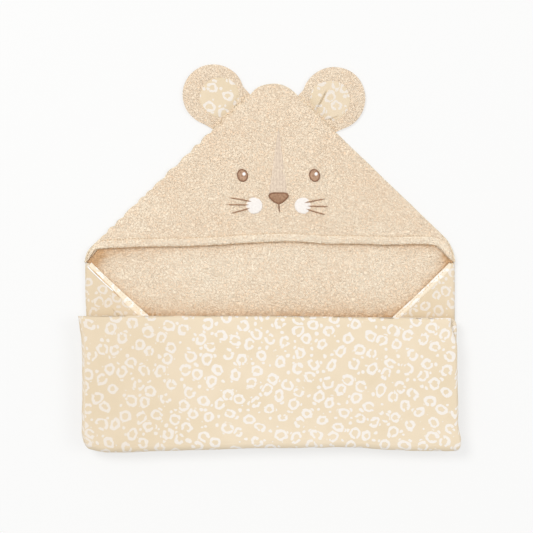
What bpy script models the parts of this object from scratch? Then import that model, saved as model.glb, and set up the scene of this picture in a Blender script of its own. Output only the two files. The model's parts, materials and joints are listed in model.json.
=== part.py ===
"""Hooded baby towel with an animal face, folded flat for a shelf. Metres, +Z up, lying on its back.

The towel's corner is the hood, at +Y. The sides are folded over the front, and the lower part is
folded up as three panels, one on another, which open out towards -Y.
"""

import math

import bpy
from mathutils import Vector
from mathutils.geometry import convex_hull_2d, delaunay_2d_cdt

GAP = 0.0003
STEPS = 10
CURVE_STEPS = 26
OVAL_STEPS = 24
GLINT_STEPS = 10
NOSE_TIP_STEPS = 12
NOSE_CORNER_STEPS = 16
EAR_STEPS = 40
GRID_CLEARANCE = 1 / 3
SAME_POINT = 1e-7
TINY_AREA = 1e-12

LEFT_X = -0.1990
RIGHT_X = 0.2010
HOOD_AXIS_X = 0.0042
APEX_Y = 0.2014
LEG_ANGLE = math.radians(46.05)
APEX_RADIUS = 0.032
SIDE_RADIUS = 0.020
NECK_Y = -0.0055

PRINT_THICK = 0.0010
TERRY_THICK = 0.0026
BACK_TOP = PRINT_THICK + GAP + TERRY_THICK

HOOD_LOFT = 0.0070
LOFT_RUN = 0.040
LINING_THICK = 0.0015
FRONT_THICK = 0.0030
FRONT_EDGE_THICK = 0.0018
EDGE_RUN = 0.015
SEAM_WIDTH = 0.0032
SEAM_HEIGHT = 0.0068
HEM_WIDTH = 0.0095
HEM_EXTRA = 0.0003
HEM_MID_Y = 0.0180
HEM_SAG = 0.0055
HEM_END_SAG = 0.0035
STITCH_WIDTH = 0.0008
STITCH_THICK = 0.0006
STITCH_INSET = 0.0082
FRONT_GRID = 0.014

EAR_RADIUS = 0.0344
EAR_OUT = 0.0245
EAR_BASE_LOW = 0.026
EAR_BASE_HIGH = 0.029
EAR_BASE_GAP = 0.0006
EAR_ALONG_LEFT = 0.0421
EAR_ALONG_RIGHT = 0.0407
EAR_SEAM_Y = 0.1268
EAR_Z = 0.0008
EAR_BACK_THICK = 0.0018
EAR_FRONT_THICK = 0.0033
EAR_PATCH_THICK = 0.0007
PATCH_RADIUS = 0.0215
PATCH_OUT = 0.0187
PATCH_BASE_GAP = 0.0014
EAR_AXIS_Z = 0.0082

PANEL_LEFT_X = -0.2015
PANEL_RIGHT_X = 0.2015
PANEL_TOP_Y = -0.0630
PANEL_BOTTOM_Y = -0.2080
PITCH = 0.0075
WRAP_RADIUS = PITCH - GAP / 2
FOLD_Y = PANEL_BOTTOM_Y + WRAP_RADIUS
TOP_FOLD_Y = PANEL_TOP_Y - WRAP_RADIUS
END_GAP = 0.0002
SIDE_FOLD_RADIUS = 0.0036

FLAP_TOP_Y = -0.0043
FLAP_ANGLE_LEFT = math.radians(41.1)
FLAP_ANGLE_RIGHT = math.radians(44.5)
BINDING_WIDTH = 0.0075
BINDING_TOP = 0.0072
FLAP_TERRY_THICK = 0.0017

FACE_X = 0.0102
EMBROIDERY_THICK = 0.0009
EYE_OUT = 0.0389
EYE_Y = 0.0891
EYE_HALF_W = 0.0060
EYE_HALF_H = 0.0070
GLINT_SHIFT_X = 0.0014
GLINT_SHIFT_Y = 0.0014
GLINT_RADIUS = 0.0014
GLINT_THICK = 0.0005
NOSE_TOP_Y = 0.0708
NOSE_TIP_Y = 0.0588
NOSE_HALF_W = 0.0115
NOSE_ROUND = 0.0026
MOUTH_END_Y = 0.0494
MOUTH_WIDTH = 0.0011
BRIDGE_TIP_Y = 0.1397
BRIDGE_HALF_W = 0.0099
CHEEK_OUT = 0.0263
CHEEK_Y = 0.0565
CHEEK_HALF_W = 0.0090
CHEEK_HALF_H = 0.0088
WHISKER_WIDTH = 0.0013
WHISKER_LENGTH = 0.0150
WHISKER_GAP = 0.0006
WHISKER_SPREAD = math.radians(12)
PATCH_ALONG = 0.002

LEFT_LEG_OUT = Vector((-math.cos(LEG_ANGLE), math.sin(LEG_ANGLE)))
RIGHT_LEG_OUT = Vector((math.cos(LEG_ANGLE), math.sin(LEG_ANGLE)))
APEX = Vector((HOOD_AXIS_X, APEX_Y))
APEX_CENTRE = APEX - Vector((0, APEX_RADIUS / math.sin(LEG_ANGLE)))

for item in list(bpy.data.objects):
    bpy.data.objects.remove(item, do_unlink=True)


def material(name, colour, roughness):
    made = bpy.data.materials.new(name)
    made.use_nodes = True
    shader = made.node_tree.nodes["Principled BSDF"]
    shader.inputs["Base Color"].default_value = (*colour, 1)
    shader.inputs["Roughness"].default_value = roughness
    return made


TERRY = material("terry", (0.66, 0.48, 0.32), 0.95)
TERRY_INNER = material("terry_inner", (0.70, 0.52, 0.35), 0.95)
LINING = material("lining", (0.62, 0.45, 0.30), 0.95)
HEM_TAPE = material("hem", (0.75, 0.56, 0.38), 0.95)
PRINT = material("printed_cotton", (0.86, 0.74, 0.55), 0.9)
BINDING = material("binding", (0.84, 0.71, 0.52), 0.9)
BRIDGE = material("bridge", (0.60, 0.48, 0.36), 0.9)
BROWN = material("brown_thread", (0.30, 0.17, 0.10), 0.6)
WHITE = material("white_thread", (0.92, 0.92, 0.88), 0.6)
STITCH = material("stitching", (0.60, 0.43, 0.28), 0.7)


def smoothstep(value):
    value = min(1.0, max(0.0, value))
    return value * value * (3 - 2 * value)


def side_centre(side):
    """Centre of the rounding between one vertical side and the hood's leg above it."""
    out = LEFT_LEG_OUT if side < 0 else RIGHT_LEG_OUT
    x = LEFT_X + SIDE_RADIUS if side < 0 else RIGHT_X - SIDE_RADIUS
    y = APEX.y + (-SIDE_RADIUS - out.x * (x - APEX.x)) / out.y
    return Vector((x, y))


def arc(centre, radius, start, end, steps):
    return [
        centre + radius * Vector((math.cos(a), math.sin(a)))
        for a in (start + (end - start) * i / steps for i in range(steps + 1))
    ]


def hood_path(inset, low_y):
    """The hood's outline moved inward by inset, from low_y at the right, over the apex, to the left."""
    right = side_centre(1)
    left = side_centre(-1)
    slope = LEG_ANGLE
    path = [Vector((RIGHT_X - inset, low_y))]
    path += arc(right, SIDE_RADIUS - inset, 0, slope, STEPS)
    path += arc(APEX_CENTRE, APEX_RADIUS - inset, slope, math.pi - slope, STEPS * 2)
    path += arc(left, SIDE_RADIUS - inset, math.pi - slope, math.pi, STEPS)
    path.append(Vector((LEFT_X + inset, low_y)))
    return path


def seam_distance(x, y):
    """How far a point lies inside the hood's outline."""
    rel = Vector((x, y)) - APEX
    return min(
        -rel.dot(LEFT_LEG_OUT), -rel.dot(RIGHT_LEG_OUT), x - LEFT_X, RIGHT_X - x
    )


def pocket_top(x, y):
    """Underside of the hood's lining: close to the back at the seams, lifted between them."""
    inside = seam_distance(x, y) - SEAM_WIDTH
    return BACK_TOP + GAP + HOOD_LOFT * smoothstep(inside / LOFT_RUN)


def lining_top(x, y):
    return pocket_top(x, y) + LINING_THICK


def front_bottom(x, y):
    return lining_top(x, y) + GAP


def front_top(x, y):
    grow = smoothstep(seam_distance(x, y) / EDGE_RUN)
    thick = FRONT_EDGE_THICK + (FRONT_THICK - FRONT_EDGE_THICK) * grow
    return front_bottom(x, y) + thick


def hem_top(x, y):
    return front_top(x, y) + HEM_EXTRA


def hem_y(x):
    """The hood's lower edge, which sags towards its ends."""
    across = abs(x) / -LEFT_X
    return HEM_MID_Y - HEM_SAG * across**2 - HEM_END_SAG * across**8


def height(value, x, y):
    return value(x, y) if callable(value) else value


def add(name, verts, faces, mat, origin=(0, 0, 0)):
    mesh = bpy.data.meshes.new(name)
    base = Vector(origin)
    mesh.from_pydata([Vector(v) - base for v in verts], [], faces)
    mesh.materials.append(mat)
    made = bpy.data.objects.new(name, mesh)
    made.location = base
    bpy.context.scene.collection.objects.link(made)
    return made


def inside_polygon(point, outline, margin):
    """True where a point lies in the outline and at least margin from its edges."""
    hit = False
    for a, b in zip(outline, outline[1:] + outline[:1]):
        if (a.y > point.y) != (b.y > point.y):
            cross = a.x + (point.y - a.y) / (b.y - a.y) * (b.x - a.x)
            if point.x < cross:
                hit = not hit
        edge = b - a
        along = min(
            1.0, max(0.0, (point - a).dot(edge) / max(edge.length_squared, TINY_AREA))
        )
        if (point - a - edge * along).length < margin:
            return False
    return hit


def plate(name, outline, bottom, top, mat, grid=0.0, origin=(0, 0, 0)):
    """A closed sheet over an outline, with its underside and top at given heights."""
    points = [Vector(p) for p in outline]
    edges = [(i, (i + 1) % len(points)) for i in range(len(points))]
    if grid:
        xs = [p.x for p in points]
        ys = [p.y for p in points]
        y = min(ys) + grid / 2
        while y < max(ys):
            x = min(xs) + grid / 2
            while x < max(xs):
                spot = Vector((x, y))
                if inside_polygon(spot, points[: len(edges)], grid * GRID_CLEARANCE):
                    points.append(spot)
                x += grid
            y += grid
    flat, _, tris, _, _, _ = delaunay_2d_cdt(points, edges, [], 1, SAME_POINT)
    count = len(flat)
    verts = [(p.x, p.y, height(top, p.x, p.y)) for p in flat]
    verts += [(p.x, p.y, height(bottom, p.x, p.y)) for p in flat]
    faces = []
    seen = {}
    for tri in tris:
        a, b, c = tri
        if (flat[b] - flat[a]).cross(flat[c] - flat[a]) < 0:
            a, c = c, a
        faces.append((a, b, c))
        faces.append((c + count, b + count, a + count))
        for edge in ((a, b), (b, c), (c, a)):
            seen[edge] = True
    for a, b in seen:
        if (b, a) not in seen:
            faces.append((b, a, a + count, b + count))
    return add(name, verts, faces, mat, origin)


def sweep(name, path, section, mat, origin=(0, 0, 0)):
    """A bar along a path in plan; section gives its (inward, z) points, anticlockwise."""
    rings = []
    for i, point in enumerate(path):
        before = path[max(i - 1, 0)]
        after = path[min(i + 1, len(path) - 1)]
        tangent = (after - before).normalized()
        inward = Vector((-tangent.y, tangent.x))
        rings.append(
            [
                (point.x + inward.x * u, point.y + inward.y * u, z)
                for u, z in section(point)
            ]
        )
    size = len(rings[0])
    verts = [v for ring in rings for v in ring]
    faces = [tuple(reversed(range(size))), tuple(range(len(verts) - size, len(verts)))]
    for i in range(len(rings) - 1):
        for k in range(size):
            n = (k + 1) % size
            a = i * size
            b = a + size
            faces.append((a + k, a + n, b + n, b + k))
    return add(name, verts, faces, mat, origin)


def half_disc(name, x_from, x_to, y, axis_z, out, mat):
    """The rounded edge where the cloth turns from one panel into the next."""
    profile = []
    for i in range(STEPS + 1):
        turn = math.pi * i / STEPS
        profile.append(
            (y + out * WRAP_RADIUS * math.sin(turn), axis_z - WRAP_RADIUS * math.cos(turn))
        )
    if out < 0:
        profile.reverse()
    count = len(profile)
    verts = [(x_from, *p) for p in profile] + [(x_to, *p) for p in profile]
    faces = [tuple(reversed(range(count))), tuple(range(count, 2 * count))]
    for k in range(count):
        n = (k + 1) % count
        faces.append((k, n, n + count, k + count))
    return add(name, verts, faces, mat)


def ellipse(centre, half_w, half_h, steps):
    return [
        Vector((centre[0] + half_w * math.cos(a), centre[1] + half_h * math.sin(a)))
        for a in (2 * math.pi * i / steps for i in range(steps))
    ]


def crossing(path, curve, forward):
    """Where a path meets a curve y(x): the index after it, and the point."""
    order = range(1, len(path)) if forward else range(len(path) - 1, 0, -1)
    for i in order:
        a, b = path[i - 1], path[i]
        fa, fb = a.y - curve(a.x), b.y - curve(b.x)
        if fa * fb <= 0 and fa != fb:
            return i, a + (b - a) * (fa / (fa - fb))
    raise ValueError("the curve misses the path")


def across(curve, start, end, steps):
    """Points of a curve between two ends, which are left out."""
    return [
        Vector((x, curve(x)))
        for x in (start + (end - start) * i / steps for i in range(1, steps))
    ]


def hood_region(low, high, inset, steps):
    """The part of the hood above one curve and, where given, below another."""
    path = hood_path(inset, NECK_Y)
    right_i, right_low = crossing(path, low, True)
    left_i, left_low = crossing(path, low, False)
    outline = [left_low] + across(low, left_low.x, right_low.x, steps) + [right_low]
    if high is None:
        return outline + path[right_i:left_i]
    right_j, right_high = crossing(path, high, True)
    left_j, left_high = crossing(path, high, False)
    outline += path[right_i:right_j] + [right_high]
    outline += across(high, right_high.x, left_high.x, steps) + [left_high]
    return outline + path[left_j:left_i]


def clip(outline, point, keep):
    """The part of a convex outline on the side of a line that keep points to."""
    kept = []
    for a, b in zip(outline, outline[1:] + outline[:1]):
        da = (a - point).dot(keep)
        db = (b - point).dot(keep)
        if da >= 0:
            kept.append(a)
        if da * db < 0:
            kept.append(a + (b - a) * (da / (da - db)))
    return kept


def rectangle(x_from, x_to, y_from, y_to):
    return [
        Vector((x_from, y_from)),
        Vector((x_to, y_from)),
        Vector((x_to, y_to)),
        Vector((x_from, y_to)),
    ]


def build_hood():
    inner = hood_path(SEAM_WIDTH + GAP, NECK_Y + GAP)
    plate("hood_back_print", inner, 0, PRINT_THICK, PRINT)
    plate("hood_back_terry", inner, PRINT_THICK + GAP, BACK_TOP, TERRY_INNER)

    def seam_section(_point):
        turns = [math.pi * i / STEPS for i in range(STEPS + 1)]
        outer = [
            (
                SEAM_WIDTH * (1 - math.sin(t)),
                SEAM_HEIGHT / 2 * (1 - math.cos(t)),
            )
            for t in turns
        ]
        return list(reversed(outer))

    sweep("hood_seam", hood_path(0, NECK_Y + GAP), seam_section, TERRY)

    def above_hem(x):
        return hem_y(x) + HEM_WIDTH + GAP

    def hem_high(x):
        return hem_y(x) + HEM_WIDTH

    inset = SEAM_WIDTH + GAP
    front = hood_region(above_hem, None, inset, CURVE_STEPS)
    plate("hood_front_lining", front, pocket_top, lining_top, LINING, FRONT_GRID)
    plate("hood_front_terry", front, front_bottom, front_top, TERRY, FRONT_GRID)
    hem = hood_region(hem_y, hem_high, inset, CURVE_STEPS)
    plate("hood_hem", hem, pocket_top, hem_top, HEM_TAPE)

    def stitch_low(x):
        return hem_y(x) + STITCH_INSET

    def stitch_high(x):
        return stitch_low(x) + STITCH_WIDTH

    plate(
        "hem_topstitch",
        hood_region(stitch_low, stitch_high, inset + STITCH_WIDTH, CURVE_STEPS),
        lambda x, y: hem_top(x, y) + GAP,
        lambda x, y: hem_top(x, y) + GAP + STITCH_THICK,
        STITCH,
    )


def build_face():
    flat = BACK_TOP + GAP + HOOD_LOFT + LINING_THICK + GAP + FRONT_THICK
    low = flat + GAP
    high = low + EMBROIDERY_THICK
    for side, name in ((-1, "left"), (1, "right")):
        eye = (FACE_X + side * EYE_OUT, EYE_Y)
        iris = ellipse(eye, EYE_HALF_W, EYE_HALF_H, OVAL_STEPS)
        plate(f"{name}_eye", iris, low, high, BROWN)
        glint = (eye[0] + GLINT_SHIFT_X, eye[1] + GLINT_SHIFT_Y)
        plate(
            f"{name}_eye_glint",
            ellipse(glint, GLINT_RADIUS, GLINT_RADIUS, GLINT_STEPS),
            high + GAP,
            high + GAP + GLINT_THICK,
            WHITE,
        )
        cheek = (FACE_X + side * CHEEK_OUT, CHEEK_Y)
        patch = ellipse(cheek, CHEEK_HALF_W, CHEEK_HALF_H, OVAL_STEPS)
        plate(f"{name}_cheek", patch, low, high, WHITE)
        for i in range(3):
            spread = (1 - i) * WHISKER_SPREAD
            way = Vector((side * math.cos(spread), math.sin(spread)))
            across_way = Vector((-way.y, way.x)) * WHISKER_WIDTH / 2
            centre = Vector(cheek)
            start = centre + way * (CHEEK_HALF_W + WHISKER_GAP)
            tip = start + way * WHISKER_LENGTH
            whisker = [start - across_way, tip - across_way, tip + across_way, start + across_way]
            if side < 0:
                whisker.reverse()
            plate(f"{name}_whisker_{i + 1}", whisker, low, high, BROWN)

    nose_x = FACE_X
    corner_y = NOSE_TOP_Y - NOSE_ROUND
    tip_round = NOSE_ROUND / 2
    rounds = ellipse((nose_x, NOSE_TIP_Y + tip_round), tip_round, tip_round, NOSE_TIP_STEPS)
    for corner_x in (NOSE_ROUND - NOSE_HALF_W, NOSE_HALF_W - NOSE_ROUND):
        corner = (nose_x + corner_x, corner_y)
        rounds += ellipse(corner, NOSE_ROUND, NOSE_ROUND, NOSE_CORNER_STEPS)
    plate("nose", [rounds[i] for i in convex_hull_2d(rounds)], low, high, BROWN)
    half = MOUTH_WIDTH / 2
    plate(
        "mouth_stitch",
        rectangle(nose_x - half, nose_x + half, MOUTH_END_Y, NOSE_TIP_Y - GAP * 2),
        low,
        high,
        BROWN,
    )
    bridge_low = NOSE_TOP_Y + GAP * 2
    bridge = [
        Vector((nose_x - BRIDGE_HALF_W, bridge_low)),
        Vector((nose_x + BRIDGE_HALF_W, bridge_low)),
        Vector((nose_x, BRIDGE_TIP_Y)),
    ]
    plate(
        "nose_bridge",
        bridge,
        lambda x, y: front_top(x, y) + GAP,
        lambda x, y: front_top(x, y) + GAP + EMBROIDERY_THICK,
        BRIDGE,
    )


def build_ear(side, name):
    out = LEFT_LEG_OUT if side < 0 else RIGHT_LEG_OUT
    up = Vector((-side * math.sin(LEG_ANGLE), math.cos(LEG_ANGLE)))
    on_seam = APEX - up * ((APEX.y - EAR_SEAM_Y) / up.y)
    along = EAR_ALONG_LEFT if side < 0 else EAR_ALONG_RIGHT
    foot = on_seam + up * along
    hinge = (foot.x, foot.y, EAR_AXIS_Z)

    def shape(s, u, radius, base_gap, base):
        circle = ellipse((s, u), radius, radius, EAR_STEPS)
        round_part = [p for p in circle if p.y > base_gap]
        local = round_part + [Vector((b, base_gap)) for b in base]
        hull = [local[i] for i in convex_hull_2d(local)]
        placed = [foot + up * p.x + out * p.y for p in hull]
        return placed if side > 0 else list(reversed(placed))

    ear = shape(0, EAR_OUT, EAR_RADIUS, EAR_BASE_GAP, (-EAR_BASE_LOW, EAR_BASE_HIGH))
    half_chord = math.sqrt(PATCH_RADIUS**2 - (PATCH_OUT - PATCH_BASE_GAP) ** 2)
    base = (PATCH_ALONG - half_chord, PATCH_ALONG + half_chord)
    patch = shape(PATCH_ALONG, PATCH_OUT, PATCH_RADIUS, PATCH_BASE_GAP, base)
    back_top = EAR_Z + EAR_BACK_THICK
    front_low = back_top + GAP
    front_high = front_low + EAR_FRONT_THICK
    patch_low = front_high + GAP
    plate(f"{name}_ear_back", ear, EAR_Z, back_top, TERRY, 0, hinge)
    plate(f"{name}_ear_front", ear, front_low, front_high, TERRY, 0, hinge)
    plate(
        f"{name}_ear_patch", patch, patch_low, patch_low + EAR_PATCH_THICK, PRINT, 0, hinge
    )


def build_back():
    left = LEFT_X + SIDE_FOLD_RADIUS
    right = RIGHT_X - SIDE_FOLD_RADIUS
    low = FOLD_Y + END_GAP
    high = NECK_Y - GAP
    sheet = rectangle(left + GAP, right - GAP, low, high)
    plate("back_print", sheet, 0, PRINT_THICK, PRINT)
    plate("back_terry", sheet, PRINT_THICK + GAP, BACK_TOP, TERRY_INNER)

    def fold_section(_point):
        outer = SIDE_FOLD_RADIUS
        inner = SIDE_FOLD_RADIUS - PRINT_THICK
        turns = [math.pi * i / STEPS for i in range(STEPS + 1)]
        ring = [(outer - outer * math.sin(t), outer + outer * math.cos(t)) for t in turns]
        ring += [
            (outer - inner * math.sin(t), outer + inner * math.cos(t)) for t in reversed(turns)
        ]
        return ring

    sweep(
        "left_side_fold",
        [Vector((LEFT_X, high)), Vector((LEFT_X, low))],
        fold_section,
        PRINT,
    )
    sweep(
        "right_side_fold",
        [Vector((RIGHT_X, low)), Vector((RIGHT_X, high))],
        fold_section,
        PRINT,
    )

    flap_low = BACK_TOP + GAP
    terry_top = flap_low + FLAP_TERRY_THICK
    print_low = terry_top + GAP
    for side, name in ((-1, "left"), (1, "right")):
        edge_x = LEFT_X if side < 0 else RIGHT_X
        angle = FLAP_ANGLE_LEFT if side < 0 else FLAP_ANGLE_RIGHT
        way = Vector((-side * math.cos(angle), -math.sin(angle)))
        keep = Vector((side * math.sin(angle), -math.cos(angle)))
        corner = Vector((edge_x, FLAP_TOP_Y))
        if side < 0:
            area = rectangle(left + GAP, -GAP, low, high)
        else:
            area = rectangle(GAP, right - GAP, low, high)
        body = clip(area, corner + keep * (BINDING_WIDTH + GAP), keep)
        edge = clip(clip(area, corner, keep), corner + keep * BINDING_WIDTH, -keep)
        plate(f"{name}_flap_terry", body, flap_low, terry_top, TERRY_INNER)
        plate(f"{name}_flap_print", body, print_low, print_low + PRINT_THICK, PRINT)
        plate(f"{name}_flap_edge", edge, flap_low, BINDING_TOP, BINDING)

    half_disc("fold_1_wrap", PANEL_LEFT_X, PANEL_RIGHT_X, FOLD_Y, PITCH - GAP / 2, -1, PRINT)


def build_panel(number, low_y, high_y, hinge_y):
    """One folded layer: the double terry inside, and the printed cloth round it."""
    bottom = PITCH * number
    top = bottom + PITCH - GAP
    middle = (bottom + top) / 2
    radius = (top - bottom) / 2
    hinge = (0, hinge_y, bottom - GAP / 2)
    inner = radius - PRINT_THICK
    left = PANEL_LEFT_X + radius
    right = PANEL_RIGHT_X - radius

    def band(r):
        turns = [math.pi * i / STEPS for i in range(STEPS + 1)]
        ring = [(right + r * math.sin(t), middle - r * math.cos(t)) for t in turns]
        return ring + [(left - r * math.sin(t), middle + r * math.cos(t)) for t in turns]

    outside = band(radius)
    inside = band(inner)
    core = band(inner - GAP)
    count = len(outside)
    verts = [(x, y, z) for y in (low_y, high_y) for ring in (outside, inside) for x, z in ring]
    faces = []
    for k in range(count):
        n = (k + 1) % count
        a, b, c, d = (count * i for i in range(4))
        faces.append((a + k, a + n, b + n, b + k))
        faces.append((c + n, c + k, d + k, d + n))
        faces.append((a + n, a + k, c + k, c + n))
        faces.append((b + k, b + n, d + n, d + k))
    add(f"panel_{number}_print", verts, faces, PRINT, hinge)
    verts = [(x, y, z) for y in (low_y, high_y) for x, z in core]
    faces = [tuple(range(count)), tuple(reversed(range(count, 2 * count)))]
    for k in range(count):
        n = (k + 1) % count
        faces.append((n, k, k + count, n + count))
    add(f"panel_{number}_core", verts, faces, TERRY_INNER, hinge)


build_hood()
build_face()
build_ear(-1, "left")
build_ear(1, "right")
build_back()
build_panel(1, FOLD_Y + END_GAP, TOP_FOLD_Y - END_GAP, FOLD_Y)
half_disc(
    "fold_2_wrap", PANEL_LEFT_X, PANEL_RIGHT_X, TOP_FOLD_Y, PITCH * 2 - GAP / 2, 1, PRINT
)
build_panel(2, FOLD_Y + END_GAP, TOP_FOLD_Y - END_GAP, TOP_FOLD_Y)
half_disc("fold_3_wrap", PANEL_LEFT_X, PANEL_RIGHT_X, FOLD_Y, PITCH * 3 - GAP / 2, -1, PRINT)
build_panel(3, FOLD_Y + END_GAP, PANEL_TOP_Y, FOLD_Y)
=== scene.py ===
"""Looks of the hooded baby towel: terry pile, printed cotton, embroidery and stitching, in metres.

Every point of a cloth piece carries its place on the cloth in the attribute cloth, so the print and the pile
stay on the cloth in every pose. The attribute's third value is painted shade, in millimetres from 0 to 1,
strongest where a point lies deep in a fold or under another piece, or, on stitches, how far a patch of
stitches has thinned out.
"""

import json
import math

import bpy
import numpy as np
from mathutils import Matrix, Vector


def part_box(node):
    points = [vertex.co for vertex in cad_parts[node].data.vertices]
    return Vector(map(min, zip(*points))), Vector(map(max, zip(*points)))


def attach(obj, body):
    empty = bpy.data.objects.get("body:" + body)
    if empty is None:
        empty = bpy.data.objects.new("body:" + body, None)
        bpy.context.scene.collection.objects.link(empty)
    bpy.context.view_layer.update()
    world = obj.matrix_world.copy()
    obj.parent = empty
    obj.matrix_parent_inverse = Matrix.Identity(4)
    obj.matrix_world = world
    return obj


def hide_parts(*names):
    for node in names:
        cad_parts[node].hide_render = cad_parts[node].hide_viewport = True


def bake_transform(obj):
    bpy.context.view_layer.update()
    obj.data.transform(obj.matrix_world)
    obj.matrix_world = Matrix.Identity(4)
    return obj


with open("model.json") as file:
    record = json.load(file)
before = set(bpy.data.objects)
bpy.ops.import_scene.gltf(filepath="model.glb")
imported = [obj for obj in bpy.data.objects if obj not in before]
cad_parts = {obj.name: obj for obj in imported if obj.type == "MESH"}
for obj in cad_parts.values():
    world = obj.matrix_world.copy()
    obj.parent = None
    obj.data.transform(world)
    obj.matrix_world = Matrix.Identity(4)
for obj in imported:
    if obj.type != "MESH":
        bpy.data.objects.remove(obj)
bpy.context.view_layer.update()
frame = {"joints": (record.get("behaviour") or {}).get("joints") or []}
MM = 0.001

# ---------------------------------------------------------------- places, from the CAD boxes


def span(node):
    low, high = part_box(node)
    return np.array(low), np.array(high)


def centre_of(node):
    return sum(span(node)) / 2


SIDES = ((-1, "left"), (1, "right"))
(LEFT_X, NECK_Y, _), (RIGHT_X, APEX_TOP, _) = span("hood_seam")
SIDE_X = {-1: LEFT_X, 1: RIGHT_X}
FACE_X = centre_of("nose")[0]
EYE_Y = centre_of("left_eye")[1]
CHEEK_Y = centre_of("left_cheek")[1]
NOSE_TOP_Y = span("nose")[1][1]
BACK_LOW_Y = span("back_print")[0][1]
BACK_TOP = span("back_terry")[1][2]
PANEL_LOW, PANEL_HIGH = span("panel_3_print")
BAND_TOP_Y = PANEL_HIGH[1]
LAYER_LOW, LAYER_HIGH = span("panel_1_print")
PITCH = span("panel_2_print")[0][2] - LAYER_LOW[2]
NOSE_R = (LAYER_HIGH[2] - LAYER_LOW[2]) / 2
BOTTOM_FOLD_Y = span("fold_1_wrap")[1][1]
TOP_FOLD_Y = span("fold_2_wrap")[0][1]

# The hood's outline: two legs at LEG from the horizontal, a round tip and two round lower corners.
HOOD_X = FACE_X - 6 * MM
LEG = math.radians(46.05)
COS, SIN = math.cos(LEG), math.sin(LEG)
TIP_R = 32 * MM
CORNER_R = {-1: 22 * MM, 1: 42 * MM}
TIP = np.array([HOOD_X, APEX_TOP - TIP_R])
APEX_Y = TIP[1] + TIP_R / SIN


def corner_centre(side):
    r = CORNER_R[side]
    x = SIDE_X[side] - side * r
    return np.array([x, APEX_Y - (r + side * COS * (x - HOOD_X)) / SIN])


def edge_x(y, side, inset=0.0):
    """x of the hood's outline at each y, moved inward by inset."""

    def arc(centre, radius):
        return centre[0] + side * np.sqrt(np.maximum(radius**2 - (y - centre[1]) ** 2, 0))

    corner, r, tip_r = corner_centre(side), CORNER_R[side] - inset, TIP_R - inset
    x = HOOD_X + side * ((APEX_Y - y) * SIN - inset) / COS
    x = np.where(y < corner[1] + r * SIN, arc(corner, r), x)
    x = np.where(y < corner[1], corner[0] + side * r, x)
    return np.where(y > TIP[1] + tip_r * SIN, arc(TIP, tip_r), x)


def inside(x, y):
    """Distance inside the hood's outline."""
    near = (APEX_Y - y) * SIN - np.abs(x - HOOD_X) * COS
    tip = TIP_R - np.hypot(x - TIP[0], y - TIP[1])
    near = np.where(y > TIP[1] + 0.6 * TIP_R, np.minimum(near, tip), near)
    for side in (-1, 1):
        cx, cy = corner_centre(side)
        out, up = side * (x - cx), y - cy
        in_corner = (out > 0) & (up > 0) & (up < out * math.tan(LEG))
        near = np.where(in_corner, np.minimum(near, CORNER_R[side] - np.hypot(out, up)), near)
    return np.minimum(near, np.minimum(x - LEFT_X, RIGHT_X - x))


def through(x, spots):
    """A smooth curve through spots of (x, y) in millimetres."""
    xs, ys = np.array(spots, float).T * MM
    rise = np.diff(ys) / np.diff(xs)
    slope = np.concatenate([[rise[0]], (rise[:-1] + rise[1:]) / 2, [rise[-1]]])
    slope[1:-1] = np.where(rise[:-1] * rise[1:] > 0, slope[1:-1], 0)
    x = np.clip(x, xs[0], xs[-1])
    i = np.clip(np.searchsorted(xs, x) - 1, 0, len(xs) - 2)
    wide = xs[i + 1] - xs[i]
    t = (x - xs[i]) / wide
    near = (1 + 2 * t) * (1 - t) ** 2 * ys[i] + t * (1 - t) ** 2 * wide * slope[i]
    return near + t * t * (3 - 2 * t) * ys[i + 1] + t * t * (t - 1) * wide * slope[i + 1]


def gone_along(path):
    """Length gone along a path at each of its points."""
    return np.concatenate([[0], np.cumsum(np.linalg.norm(np.diff(path, axis=0), axis=1))])


def directions(path):
    """Unit direction of a path at each of its points."""
    way = np.gradient(path, axis=0)
    return way / np.linalg.norm(way, axis=1)[:, None]


def full_turn(count):
    return np.linspace(0, 2 * math.pi, count, endpoint=False)


def cushion(turn, power):
    """Across and up, from -1 to 1, round a section between a circle and a box."""
    across, up = np.cos(turn), np.sin(turn)
    return np.sign(across) * np.abs(across) ** power, np.sign(up) * np.abs(up) ** power


def points(x, y, z):
    return np.stack(np.broadcast_arrays(x, y, z), -1)


# ---------------------------------------------------------------- noise and steps

TABLES = {}


def noise(x, y, cell, seed):
    """Smooth noise from -1 to 1, the same on every run."""
    if seed not in TABLES:
        TABLES[seed] = np.random.RandomState(seed).uniform(-1, 1, (256, 256))
    table = TABLES[seed]
    u, v = np.asarray(x) / cell + 1000.5, np.asarray(y) / cell + 1000.5
    i, j = np.floor(u).astype(int), np.floor(v).astype(int)
    fu, fv = step(u - i), step(v - j)
    a, b = table[i % 256, j % 256], table[(i + 1) % 256, j % 256]
    c, d = table[i % 256, (j + 1) % 256], table[(i + 1) % 256, (j + 1) % 256]
    return (a * (1 - fu) + b * fu) * (1 - fv) + (c * (1 - fu) + d * fu) * fv


def step(value):
    """From 0 to 1 as value goes from 0 to 1, with soft ends."""
    value = np.clip(value, 0, 1)
    return value * value * (3 - 2 * value)


def fading(gone, reach):
    """1 up to the start, then fading out over a few times reach."""
    return np.exp(-np.maximum(gone, 0) / reach)


def ridge(off, wide):
    return np.exp(-((off / wide) ** 2))


def bump_at(x, y, cx, cy, rx, ry):
    return ridge(x - cx, rx) * ridge(y - cy, ry)


def pile(x, y, seed):
    """Loops of terry standing up unevenly, in metres."""
    tall = 0.22 * noise(x, y, 2.1 * MM, seed) + 0.15 * noise(x, y, 3.7 * MM, seed + 1)
    return MM * (tall + 0.25 * noise(x, y, 11 * MM, seed + 2))


# ---------------------------------------------------------------- materials


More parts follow.
